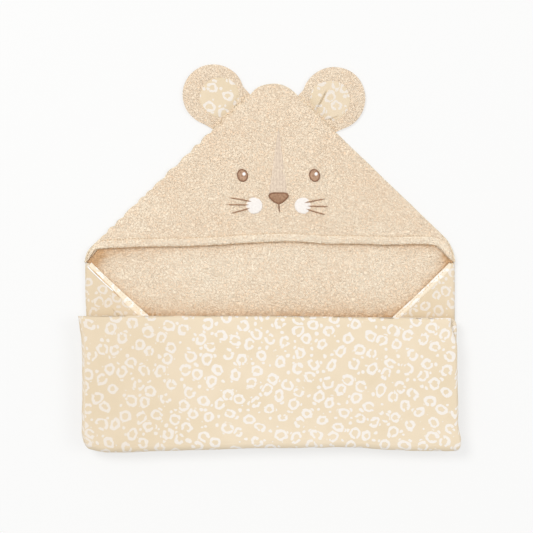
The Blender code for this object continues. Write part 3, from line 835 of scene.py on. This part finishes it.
def cord(name, path, radius, mat):
    """A thin cord along a path, thinner towards its ends."""
    share = np.linspace(0, 1, len(path))
    size = radius * np.clip(np.minimum(share, 1 - share) * 12, 0.3, 1)
    size = (size * (1 + 0.18 * noise(path[:, 0], path[:, 1], 5 * MM, 65)))[:, None]
    turn = full_turn(8)
    rings = rings_along(path, size * np.cos(turn), path[:, 2:] + size * np.sin(turn))
    cloth = points(gone_along(path)[:, None], radius * turn, 0.0)
    keep(tube(name, rings, mat, cloth), "towel_back", "stitching")


def stitch_line(name, body, path, length, gap, radius, nodes=()):
    """A row of separate stitches along a path, each a small bent thread that dips in at its ends."""
    gone = gone_along(path)
    rings, around = 7, 6
    size = rings * around
    ends = [tuple(range(around))[::-1], tuple(range(size - around, size))]
    one = ring_faces(rings, around) + ends
    share, turn = np.linspace(0, 1, rings), full_turn(around)[:, None]
    thick = radius * (0.35 + 0.65 * np.sin(math.pi * np.clip(share, 0.08, 0.92)))[:, None]
    verts, faces, cloth = [], [], []
    for i in range(int(gone[-1] / (length + gap))):
        spots = i * (length + gap) + length * share
        centre = np.stack([np.interp(spots, gone, path[:, k]) for k in range(3)], 1)
        centre[:, 2] += radius * (1.6 * np.sin(math.pi * share) - 1.0)
        way = centre[-1] - centre[0]
        way /= np.linalg.norm(way)
        side = np.cross(way, (0, 0, 1))
        side /= np.linalg.norm(side)
        round_it = side * np.cos(turn) + np.cross(side, way) * np.sin(turn)
        verts.append(centre[:, None] + thick[:, None] * round_it)
        cloth.append(points(spots[:, None], thick * turn.T, 0.0))
        faces += [tuple(i * size + v for v in f) for f in one]
    keep(build(name, np.array(verts), faces, STITCH, np.array(cloth)), body, "stitching", *nodes)


# ---------------------------------------------------------------- the hood's second layer

HEM_W = 9.6 * MM
EYE_OUT, CHEEK_OUT = 38.9 * MM, 25.9 * MM
# Where the terry is pressed down under the face's patches: middle and reach.
PRESSED = [(FACE_X, NOSE_TOP_Y - 5 * MM, 10.5 * MM, 5 * MM)]
for side, _ in SIDES:
    PRESSED.append((FACE_X + side * EYE_OUT, EYE_Y, 6 * MM, 7 * MM))
    PRESSED.append((FACE_X + side * 26.3 * MM, CHEEK_Y, 9 * MM, 8.6 * MM))


def pocket(x, y):
    """Gap left between the towel's back and the hood over it."""
    mouth = step((0.075 - y) / 0.07)
    rise = 1.5 + 0.5 * mouth + 0.8 * noise(x, y, 58 * MM, 72)
    rise = rise + 1.2 * bump_at(x, y, -0.165, 0.012, 0.035, 0.02)
    return MM * np.maximum(rise, 0.3) * step((inside(x, y) - 2 * MM) / (26 * MM))


def front_height(x, y):
    """Top of the hood's terry, without its pile."""
    d = np.maximum(inside(x, y), 0)
    roll = np.sqrt(np.clip(1 - (1 - np.minimum(d / (5.5 * MM), 1)) ** 2, 0, 1))
    wave = 0.45 * noise(x, y, 33 * MM, 73) * step(d / (20 * MM))
    return 2.6 * MM + 5.4 * MM * roll + pocket(x, y) + wave * MM


def scallop(x, y):
    """How far the hood's outline swells out: unevenly on the left leg, hardly on the right."""
    left = step((HOOD_X + 0.005 - x) / 0.02) * step((y - 0.016) / 0.015)
    phase = y / (11.2 * MM) + 0.55 * noise(y, 0, 17 * MM, 74)
    swell = 2.0 * np.abs(np.sin(math.pi * phase)) ** 0.8 - 1.3 + 0.75 * noise(y, 0, 3.2 * MM, 69)
    right = 0.25 * noise(y, 0.3, 9 * MM, 68)
    return MM * (left * swell + (1 - left) * right)


def hem_width(x):
    """Width of the turned-up edge, which runs out at the two corners."""
    return np.clip(inside(x, hem_y(x)) - 0.5 * MM, 0.8 * MM, HEM_W)


def hood_front():
    """The hood's terry and its lining: a grid from the hem up to the tip, whose low rows follow the hem."""
    cols, t = 360, np.concatenate([np.linspace(0, 0.2, 40)[:-1], np.linspace(0.2, 1, 130)])
    s = np.linspace(0, 1, cols)
    s = s - 0.012 * np.sin(2 * math.pi * s)
    base_y, tip_y = 26 * MM, APEX_TOP - 0.7 * MM
    level = np.repeat((base_y + (tip_y - base_y) * t)[:, None], cols, 1)
    y = level
    for _ in range(6):
        left, right = (edge_x(y, side, 0.6 * MM) for side in (-1, 1))
        x = left + (right - left) * s
        y = level + (hem_y(x) + 1.6 * MM - base_y) * (1 - t)[:, None] ** 5
    swell = scallop(x, y) * step(1 - inside(x, y) / (7 * MM))
    out_x = x + swell * np.sign(x - HOOD_X) * COS
    out_y = y + swell * SIN * step((y - 0.016) / 0.015)
    fluff = pile(x, y, 80) * (0.45 + 0.55 * step(inside(x, y) / (5 * MM)))
    under_hem = step((0.88 * hem_width(x) + 1.0 * MM - (y - hem_y(x))) / (1.5 * MM))
    z = front_height(x, y) + fluff * (1 - 0.6 * under_hem) - 0.9 * MM * under_hem
    for cx, cy, rx, ry in PRESSED:
        z = z - 0.5 * MM * step(1.6 - np.hypot((x - cx) / rx, (y - cy) / ry))
    under = np.maximum(np.minimum(z - 1.0 * MM, front_height(x, y) - 2.6 * MM), 1.8 * MM)
    top, low = points(out_x, out_y, z), points(out_x, out_y, under)
    made = slab("hood_front_pile", top, low, TERRY, points(x, y, 0.0))
    keep(made, "hood", "terry", "hood_front_terry")

    x, y = HOOD_X + (x[::4, ::5] - HOOD_X) * 0.985, y[::4, ::5]
    low = BACK_TOP + pocket(x, y) + 0.2 * MM * step(inside(x, y) / (6 * MM))
    high = np.maximum(front_height(x, y) - 3.0 * MM, low + 0.4 * MM)
    made = slab("hood_lining_cloth", points(x, y, high), points(x, y, low), TERRY_INNER, points(x, y, 0.0))
    keep(made, "hood", "lining", "hood_front_lining")


def smoothed(values, wide):
    """Running mean over 2 * wide + 1 values."""
    return np.convolve(np.pad(values, wide, mode="edge"), np.ones(2 * wide + 1) / (2 * wide + 1), "valid")


def hem():
    """The turned-up lower edge: puffed between its fold and the line of stitches."""
    dense = np.linspace(-199.4 * MM, 200.2 * MM, 4000)
    fine = np.stack([dense, hem_y(dense)], 1)
    gone = gone_along(fine)
    at = np.linspace(0, gone[-1], 460)
    path = np.stack([np.interp(at, gone, fine[:, k]) for k in (0, 1)], 1)
    way = directions(np.stack([smoothed(path[:, k], 12) for k in (0, 1)], 1))
    wide = smoothed(hem_width(path[:, 0]), 6)[:, None]
    across, v = cushion(full_turn(34), 0.8)
    low = np.maximum(-v, 0)
    foot = step((low - 0.8) / 0.2)
    u = wide / 2 * (1 - across)
    lip = u * (1 - (1 - foot) * np.minimum(low * 4, 1)) - 0.7 * MM * low * (1 - foot)
    u = np.where(across > 0, lip, u)
    px, py = np.moveaxis(rings_along(path, u, 0.0, way)[..., :2], -1, 0)
    ground = front_height(px, py) - 1.9 * MM
    tuft = 0.30 * MM * noise(px, py, 1.9 * MM, 75) + 0.2 * MM * noise(px, py, 5 * MM, 76)
    fray = 0.45 * MM * noise(px, np.arange(len(v)) * 0.0011, 2.3 * MM, 77) * (u < 2 * MM)
    flatten = 1 - 0.45 * step((u / HEM_W - 0.6) / 0.4)
    height = 2.4 * MM * flatten * np.clip(wide / (6 * MM), 0.35, 1)
    to_terry = np.maximum(ground - BACK_TOP + 0.2 * MM, height) - height
    height = height + to_terry * step((5.5 * MM - u) / (4 * MM)) * (v < 0)
    rise = np.where(v < 0, -np.minimum(low / 0.8, 1), v)
    rings = points(px, py + fray, ground + height * rise + tuft)
    behind = (v < -0.01) * 0.012
    # depth is painted shade on the roll's lower side, strongest towards its lip.
    depth = np.where(across > -0.2, 0.72 * step((0.25 - v) / 0.8), 0.45 * (v < 0.05))
    cloth = points(at[:, None], 0.6 + (1 - across) * wide / 2 + behind, MM * depth)
    keep(tube("hood_hem_roll", rings, TERRY_HEM, cloth), "hood", "hem", "hood_hem")
    rows = ((0.94, 0.40, -0.35, ("hem_topstitch",)), (0.62, 0.24, 0.22, ()))
    for i, (share, radius, lift, nodes) in enumerate(rows, 1):
        row = rings_along(path, wide * share, 0.0, way)[26:-34, 0]
        row[:, 2] = front_height(row[:, 0], row[:, 1]) + lift * MM
        stitch_line(f"hem_stitches_{i}", "hood", row, 2.3 * MM, 1.0 * MM, radius * MM, nodes)


def seam_roll():
    """The turned edge round the hood, a little uneven, showing as a pale rim."""
    y = rows_between((NECK_Y + 0.4 * MM, 1.2 * MM), (APEX_TOP - 3 * MM, 0.35 * MM), (APEX_TOP - 0.9 * MM, 1))
    left, right = (np.stack([edge_x(y, side, 0.9 * MM), y], 1) for side in (-1, 1))
    path = np.concatenate([right, left[::-1]])
    gone = gone_along(path)
    turn = full_turn(14)
    swell = MM * 1.2 * (1 + 0.10 * noise(gone, 0, 6 * MM, 78))
    r = swell[:, None] + MM * 0.2 * noise(gone[:, None], turn * 0.01, 2.2 * MM, 79)
    low_end = step((0.022 - path[:, 1:]) / 0.02)
    height = 2.9 * MM + (2.0 + 0.9 * low_end) * r * np.sin(turn) + 1.2 * MM * low_end
    rings = rings_along(path, -(r * np.cos(turn) + scallop(path[:, :1], path[:, 1:])), height)
    cloth = points(gone[:, None], 0.8 + MM * 1.45 * turn, 0.0)
    keep(tube("hood_turned_seam", rings, EDGE, cloth), "hood", "terry", "hood_seam")


# ---------------------------------------------------------------- the face

# Ends of the whiskers, outer end first on the left and on the right, and the nose's outline on one side,
# its x from the middle of the face. All in millimetres.
WHISKERS = {
    "left": [((-42.8, 65.0), (-19.0, 60.9)), ((-46.0, 57.5), (-22.0, 57.3)), ((-40.8, 48.3), (-20.8, 53.8))],
    "right": [((60.0, 63.6), (38.4, 59.6)), ((63.8, 55.4), (41.4, 56.0)), ((60.8, 46.7), (40.0, 52.9))],
}
NOSE_HALF = [(0.0, 70.3), (5.0, 70.4), (8.8, 69.7), (11.0, 67.6), (10.2, 65.2), (7.4, 62.4), (4.0, 59.7)]
BRIDGE_LOW, BRIDGE_HIGH = 69.6 * MM, 141.2 * MM
BRIDGE_LEFT, BRIDGE_RIGHT = 10.4 * MM, 9.6 * MM


def oval(cx, cy, rx, ry, count=40):
    turn = full_turn(count)
    return np.stack([cx + rx * np.cos(turn), cy + ry * np.sin(turn)], 1)


def drawn_in(outline, share):
    return outline.mean(0) + (outline - outline.mean(0)) * share


def closed_curve(spots, count):
    """A smooth loop through spots."""
    at = np.linspace(0, len(spots), count, endpoint=False)
    i, t = at.astype(int), (at % 1)[:, None]
    a, b, c, d = (spots[(i + k) % len(spots)] for k in (-1, 0, 1, 2))
    return 0.5 * (2 * b + (c - a) * t + (2 * a - 5 * b + 4 * c - d) * t**2 + (3 * b - a - 3 * c + d) * t**3)


def dome(name, outline, rise, mat, slot, nodes, along=(1, 0), rings=9, lift=0.0, edge=0.5, fade=None):
    """A low raised patch of stitches over an outline, sunk a little into the pile."""
    count, centre = len(outline), outline.mean(0)
    share = np.linspace(1, 0, rings)[:-1]
    flat = np.concatenate([centre + (outline - centre) * q for q in share] + [centre[None]])
    share = np.append(np.repeat(share, count), 0)
    x, y = flat.T
    rough = 0.10 * MM * noise(x, y, 1.1 * MM, 81)
    top = points(x, y, front_height(x, y) + rise * (1 - share**4) ** edge + lift + rough)
    x, y = np.append(flat[:count], centre[None], 0).T
    verts = np.concatenate([top, points(x, y, front_height(x, y) + lift - 1.4 * MM)])
    depth = np.concatenate([share, np.ones(count), [0]])
    total, last = len(top), (rings - 2) * count
    faces = ring_faces(rings - 1, count)
    for k in range(count):
        n = (k + 1) % count
        faces += [(last + k, last + n, total - 1), (n, k, total + k, total + n)]
        faces.append((total + n, total + k, total + count))
    x, y = verts[:, 0], verts[:, 1]
    thin = fade(x, y, depth) * MM if fade else 0.0
    cloth = points(x * along[0] + y * along[1], y * along[0] - x * along[1], thin)
    keep(build(name, verts, faces, mat, cloth), "hood", slot, *nodes)


def line_of_thread(name, path, width, rise, mat, nodes=(), lift=0.0, loop=False):
    """A satin line on the hood, tapered at its ends unless it is a loop, rising by lift on its way."""
    path = np.asarray(path)
    gone = gone_along(path)
    at = np.linspace(0, gone[-1], max(8, int(gone[-1] / (0.45 * MM))))
    p = np.stack([np.interp(at, gone, path[:, k]) for k in (0, 1)], 1)
    share = at / gone[-1]
    taper = np.ones(len(at)) if loop else np.clip(np.minimum(share, 1 - share) * 7, 0.25, 1)
    twist = 1 + 0.12 * noise(at, 0, 1.2 * MM, 82)
    turn = full_turn(10)
    ground = front_height(p[:, 0], p[:, 1]) + lift * step((share - 0.35) / 0.4)
    height = ground[:, None] + rise * (0.55 + 0.75 * np.sin(turn)) * np.maximum(taper, 0.6)[:, None]
    rings = rings_along(p, width / 2 * np.cos(turn) * (taper * twist)[:, None], height)
    cloth = points(turn * width / 2, at[:, None], 0.0)
    keep(tube(name, rings, mat, cloth), "hood", "brown_thread", *nodes)


def rim_line(name, outline, width, rise):
    line_of_thread(name, np.concatenate([outline, outline[:2]]), width, rise, RIM, loop=True)


def eye(side, name):
    x = FACE_X + side * EYE_OUT
    outline = oval(x, EYE_Y, 5.3 * MM, 6.4 * MM)
    outline[:, 0] -= 0.08 * (outline[:, 1] - EYE_Y)
    dome(f"{name}_eye_satin", outline, 0.75 * MM, BROWN, "brown_thread", (f"{name}_eye",),
         along=(0.35, 0.94), lift=0.2 * MM)
    rim_line(f"{name}_eye_rim", outline, 1.25 * MM, 0.85 * MM)
    glint = oval(x + 1.6 * MM, EYE_Y + 1.5 * MM, 1.8 * MM, 1.95 * MM, 18)
    dome(f"{name}_eye_light", glint, 0.5 * MM, GLINT, "white_thread",
         (f"{name}_eye_glint",), rings=4, lift=0.85 * MM)


def cheek(side, name):
    """A white patch whose outer edge runs out in spikes."""
    x = FACE_X + side * CHEEK_OUT
    turn = full_turn(88)
    spikes = np.abs((turn / (2 * math.pi) * 26) % 1 - 0.5) * 2
    far = 8.6 * MM + 0.25 * MM * noise(turn * 0.01, side, 0.6 * MM, 83)
    outer = np.clip(np.cos(turn), 0, 1) ** 0.7
    far = far + MM * outer * (0.5 + 1.5 * spikes * (0.6 + 0.4 * np.cos(turn * 5)))
    patch = np.stack([x + side * np.cos(turn) * far, CHEEK_Y + np.sin(turn) * far], 1)[::side]

    def thin(px, py, depth):
        outward = np.clip((px - x) * side / (8 * MM), 0, 1.3)
        return np.clip(0.55 * depth**5 + 0.65 * outward**1.5 * depth**2, 0, 1)

    dome(f"{name}_cheek_satin", patch, 0.5 * MM, WHITE, "white_thread", (f"{name}_cheek",),
         along=(1.0, 0.12 * side), lift=0.12 * MM, rings=12, fade=thin)


def whiskers(name):
    for i, ends in enumerate(WHISKERS[name]):
        a, b = np.array(ends) * MM
        path = [a, (a + b) / 2 + (0, 0.25 * MM * (1 - i)), b]
        line_of_thread(f"{name}_whisker_satin_{i + 1}", path, 1.4 * MM, 0.7 * MM, DARK,
                       (f"{name}_whisker_{i + 1}",), lift=0.45 * MM)


def nose_and_mouth():
    rim = NOSE_HALF + [(0.3, 58.3)] + [(-x, y) for x, y in reversed(NOSE_HALF[1:])]
    outline = closed_curve(np.array(rim)[::-1] * MM + (FACE_X, 0), 64)
    dome("nose_satin", drawn_in(outline, 0.95), 0.8 * MM, DARK, "brown_thread", ("nose",),
         along=(0, 1), lift=0.25 * MM)
    rim_line("nose_rim", drawn_in(outline, 0.93), 1.5 * MM, 0.95 * MM)
    path = np.array([(0.2, 60.0), (0.4, 54.5), (1.0, 49.0)]) * MM + (FACE_X, 0)
    line_of_thread("mouth_satin", path, 1.35 * MM, 0.75 * MM, RIM, ("mouth_stitch",))


def bridge():
    """A tall triangle of loose stitches from the nose up to between the ears."""
    q = np.linspace(0, 1, 60)
    tall = BRIDGE_HIGH - BRIDGE_LOW
    ragged = 0.35 * MM * noise(q, 0, 0.03, 84)
    left = np.stack([ragged - BRIDGE_LEFT * (1 - q) ** 0.92, BRIDGE_LOW + tall * q], 1)
    right = np.stack([BRIDGE_RIGHT * q, BRIDGE_HIGH - tall * q], 1)
    low = points(BRIDGE_RIGHT - (BRIDGE_LEFT + BRIDGE_RIGHT) * np.linspace(0, 1, 12)[1:-1], BRIDGE_LOW, 0)
    outline = np.concatenate([left, right[1:], low[:, :2]])[::-1] + (FACE_X, 0)

    def thin(x, y, depth):
        share = np.clip((y - BRIDGE_LOW) / tall, 0, 1)
        across = (x - FACE_X) / (BRIDGE_LEFT * (1 - share) + 0.6 * MM)
        return np.clip(0.22 + 0.36 * np.clip(-across, 0, 1) ** 2 + 0.18 * share - 0.5 * (across > 0.86), 0, 1)

    dome("nose_bridge_stitches", outline, 0.22 * MM, TAUPE, "bridge", ("nose_bridge",),
         along=(0, 1), rings=18, lift=0.14 * MM, edge=0.3, fade=thin)


# ---------------------------------------------------------------- ears

# In millimetres along the ear's foot and out from it: the disc's middle and radius, the ends of its foot,
# the printed patch's middle and radius, and creases from one point to another, with their depth. The
# patch's print starts at shift on its cloth, in metres, and shade is the painted shade over the patch.
EARS = {
    -1: {
        "middle": (1.9, 26.8), "radius": 33.3, "foot": (-23.5, 31.0), "patch": (4.9, 19.9, 21.8),
        "creases": [((15.5, 2.0), (20.0, 8.5), 0.8)], "shift": 0.137, "shade": 0.13,
    },
    1: {
        "middle": (-0.7, 25.2), "radius": 34.1, "foot": (-26.0, 29.0), "patch": (0.8, 20.6, 21.9),
        "creases": [((4.0, 2.4), (10.7, 26.9), 2.3), ((-11.9, 2.7), (-18.2, 14.7), 1.7)],
        "shift": 0.391, "shade": 0.22,
    },
}
EAR_FOOT_U = -2.5 * MM
PATCH_FOOT_U = -1.0 * MM


class Pad:
    """A round outline about a middle, whose reach is known at each of its turns."""

    def __init__(self, middle, turns, reach):
        self.middle, self.turns, self.reach = middle, turns, reach

    def share(self, s, u):
        """0 at the middle and 1 on the outline."""
        ds, du = s - self.middle[0], u - self.middle[1]
        full = np.interp(np.arctan2(du, ds) % (2 * math.pi), self.turns, self.reach, period=2 * math.pi)
        return np.hypot(ds, du) / full

    def build(self, name, place, shares, top, low, mat, shift=0.0, shade=0.0):
        """A closed disc of it. top and low give z at (s, u)."""
        count, last = len(self.turns), (len(shares) - 1) * len(self.turns)
        s, u = (
            np.append(centre + np.outer(shares, self.reach * way(self.turns)), centre)
            for centre, way in zip(self.middle, (np.cos, np.sin))
        )
        x, y = place(s, u)
        verts = np.concatenate([points(x, y, top(s, u)), points(x, y, low(s, u))])
        total = len(s)
        after = [(k + 1) % count for k in range(count)]
        faces = ring_faces(len(shares), count)
        faces += [(last + k, last + n, total - 1) for k, n in enumerate(after)]
        faces += [tuple(total + v for v in f[::-1]) for f in faces]
        faces += [(n, k, total + k, total + n) for k, n in enumerate(after)]
        return build(name, verts, faces, mat, points(verts[:, 0] + shift, verts[:, 1], shade * MM))


def ear_outline(shape, side):
    """A disc cut off by the ear's straight foot."""
    middle = np.array(shape["middle"]) * MM
    arc = np.radians(np.linspace(-28, 208, 90))
    line = [middle + shape["radius"] * MM * np.stack([np.cos(arc), np.sin(arc)], 1)]
    corners = [line[0][-1], *((s * MM, EAR_FOOT_U) for s in shape["foot"]), line[0][0]]
    line += [np.linspace(a, b, 30) for a, b in zip(corners, corners[1:])]
    ds, du = (np.concatenate(line) - middle).T
    angle = np.arctan2(du, ds) % (2 * math.pi)
    order = np.argsort(angle)
    turns = full_turn(150)
    reach = np.interp(turns, angle[order], np.hypot(ds, du)[order], period=2 * math.pi)
    reach = np.convolve(np.tile(reach, 3), np.ones(3) / 3, "same")[150:300]
    return Pad(middle, turns, reach * (1 + 0.010 * noise(turns * 0.05, side, 0.03, 91)))


def patch_outline(shape, side):
    """The printed inside of the ear: nearly round, cut off near the foot."""
    s0, u0, radius = (c * MM for c in shape["patch"])
    turns = full_turn(110)
    reach = radius * (1 + 0.018 * np.cos(3 * turns + side) + 0.012 * np.cos(5 * turns))
    down = np.minimum(np.sin(turns), -1e-3)
    reach = np.where(np.sin(turns) < -1e-3, np.minimum(reach, (PATCH_FOOT_U - u0) / down), reach)
    return Pad((s0, u0), turns, reach)


def ear(side, name):
    """Two padded terry halves and the printed patch, in s along the ear's foot and u out from it."""
    shape = EARS[side]
    foot = next(j for j in frame["joints"] if j["name"] == f"{name}_ear_flop")["pos_m"]
    outline, patch = ear_outline(shape, side), patch_outline(shape, side)
    patch_r = shape["patch"][2] * MM

    def place(s, u):
        return foot[0] + side * (COS * u - SIN * s), foot[1] + COS * s + SIN * u

    def folds(s, u):
        z = np.zeros_like(s)
        for start, end, deep in shape["creases"]:
            a, b = np.array(start) * MM, np.array(end) * MM
            line = b - a
            length = np.linalg.norm(line)
            t = ((s - a[0]) * line[0] + (u - a[1]) * line[1]) / length**2
            off = ((s - a[0]) * line[1] - (u - a[1]) * line[0]) / length
            along = MM * deep * step((t + 0.15) / 0.2) * step((1.1 - t) / 0.35)
            z = z + along * (0.55 * ridge(off - 2.2 * MM, 1.6 * MM) - ridge(off, 0.65 * MM))
        return z

    def mid(u):
        return 1.7 * MM + 1.6 * MM * step((u + 2 * MM) / (9 * MM))

    def crown(s, u):
        q = np.clip(outline.share(s, u), 0, 1)
        return (1 - q**3.2) ** 0.55 * step((u - 0.5 * MM) / (11 * MM))

    def front(s, u):
        return mid(u) + 3.6 * MM * crown(s, u) - 0.9 * MM * np.exp(-((outline.share(s, u) / 0.6) ** 4))

    def fluff(s, u, seed):
        rim = 0.35 + 0.65 * np.clip((1 - outline.share(s, u)) * 12, 0, 1)
        return 0.45 * pile(*place(s, u), seed) * rim

    def front_top(s, u):
        near = (patch.share(s, u) - 1.0) * patch_r
        groove = 0.9 * MM * (ridge(near, 1.5 * MM) + step(-near / (1.5 * MM)))
        return front(s, u) + fluff(s, u, 92) - groove + folds(s, u)

    def back_low(s, u):
        return np.maximum(mid(u) - 2.3 * MM * crown(s, u) - fluff(s, u, 95), 0.1 * MM)

    def patch_top(s, u):
        q = np.clip(patch.share(s, u), 0, 1)
        rounded = 1.1 * MM * (1 - np.sqrt(np.clip(1 - q**8, 0, 1)))
        wave = 0.22 * MM * noise(s, u, 9 * MM, 97)
        return front(s, u) - rounded + folds(s, u) + wave * (1 - q**4)

    def bend_at_foot(made):
        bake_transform(made)

    shares = np.sin(np.linspace(math.pi / 2, 0.02, 46))
    halves = (
        ("front", front_top, lambda s, u: mid(u) + 0.02 * MM),
        ("back", lambda s, u: mid(u) - 0.02 * MM, back_low),
    )
    for part, top, low in halves:
        made = outline.build(f"{name}_ear_{part}_pad", place, shares, top, low, TERRY_EAR)
        keep(made, None, "terry", f"{name}_ear_{part}")
        bend_at_foot(made)
    made = patch.build(
        f"{name}_ear_inner_print", place, np.linspace(1, 0.03, 44),
        patch_top, lambda s, u: patch_top(s, u) - 0.8 * MM, PRINT, shape["shift"], shape["shade"],
    )
    keep(made, None, "printed_cotton", f"{name}_ear_patch")
    bend_at_foot(made)


# ---------------------------------------------------------------- floor, light and camera

FLOOR_HALF = 6
VIEW_WIDE = 572.975 * MM
VIEW_MIDDLE = (-2.8 * MM, -9.2 * MM, 18 * MM)


def show(obj):
    bpy.context.scene.collection.objects.link(obj)
    return obj


def lamp(name, place, size, power, colour):
    light = bpy.data.lights.new(name, "AREA")
    light.shape, light.size = "DISK", size
    light.energy, light.color = power, colour
    made = show(bpy.data.objects.new(name, light))
    made.location = place
    made.rotation_mode = "QUATERNION"
    made.rotation_quaternion = Vector([-c for c in place]).to_track_quat("-Z", "Y")


def light_table():
    mesh = bpy.data.meshes.new("studio_floor")
    corners = [(x * FLOOR_HALF, y * FLOOR_HALF, 0) for x, y in ((-1, -1), (1, -1), (1, 1), (-1, 1))]
    mesh.from_pydata(corners, [], [(0, 1, 2, 3)])
    s = Shader("light_table")
    tone = s.texture(s.node("TexCoord", {}).outputs["Object"], 0.9)
    s.put(s.out, {
        "Base Color": s.mix(tone, (0.30, 0.30, 0.299, 1), (0.31, 0.31, 0.309, 1)),
        "Roughness": 0.9,
        "Specular IOR Level": 0.05,
        "Emission Color": (1.0, 1.0, 0.995, 1),
        "Emission Strength": 0.61,
    })
    mesh.materials.append(s.material)
    floor = show(bpy.data.objects.new("studio_floor", mesh))
    floor.location.z = -0.2 * MM


def studio():
    light_table()
    scene = bpy.context.scene
    scene.world = bpy.data.worlds.new("soft_room")
    scene.world.use_nodes = True
    room = scene.world.node_tree.nodes["Background"]
    room.inputs["Color"].default_value = (1.0, 0.998, 0.995, 1)
    room.inputs["Strength"].default_value = 0.64
    lamp("key_light", (-1.3, 1.15, 3.2), 1.5, 59, (1.0, 0.995, 0.985))
    lamp("fill_light", (2.2, 0.2, 3.0), 2.0, 28, (1.0, 0.998, 0.992))

    data = bpy.data.cameras.new("camera")
    data.lens, data.sensor_width, data.clip_end = 130, 36, 50
    scene.camera = show(bpy.data.objects.new("camera", data))
    distance = VIEW_WIDE * data.lens / data.sensor_width
    scene.camera.location = (*VIEW_MIDDLE[:2], VIEW_MIDDLE[2] + distance)
    scene.view_settings.view_transform = "Standard"
    scene.view_settings.look = "None"
    scene.view_settings.exposure = 0.0


band()
back()
for side, name in SIDES:
    flap(side, name)
    binding(side, name)
    if side < 0:
        short_cords()
hood_front()
hem()
seam_roll()
for side, name in SIDES:
    eye(side, name)
    cheek(side, name)
for _, name in SIDES:
    whiskers(name)
nose_and_mouth()
bridge()
for side, name in SIDES:
    ear(side, name)
studio()
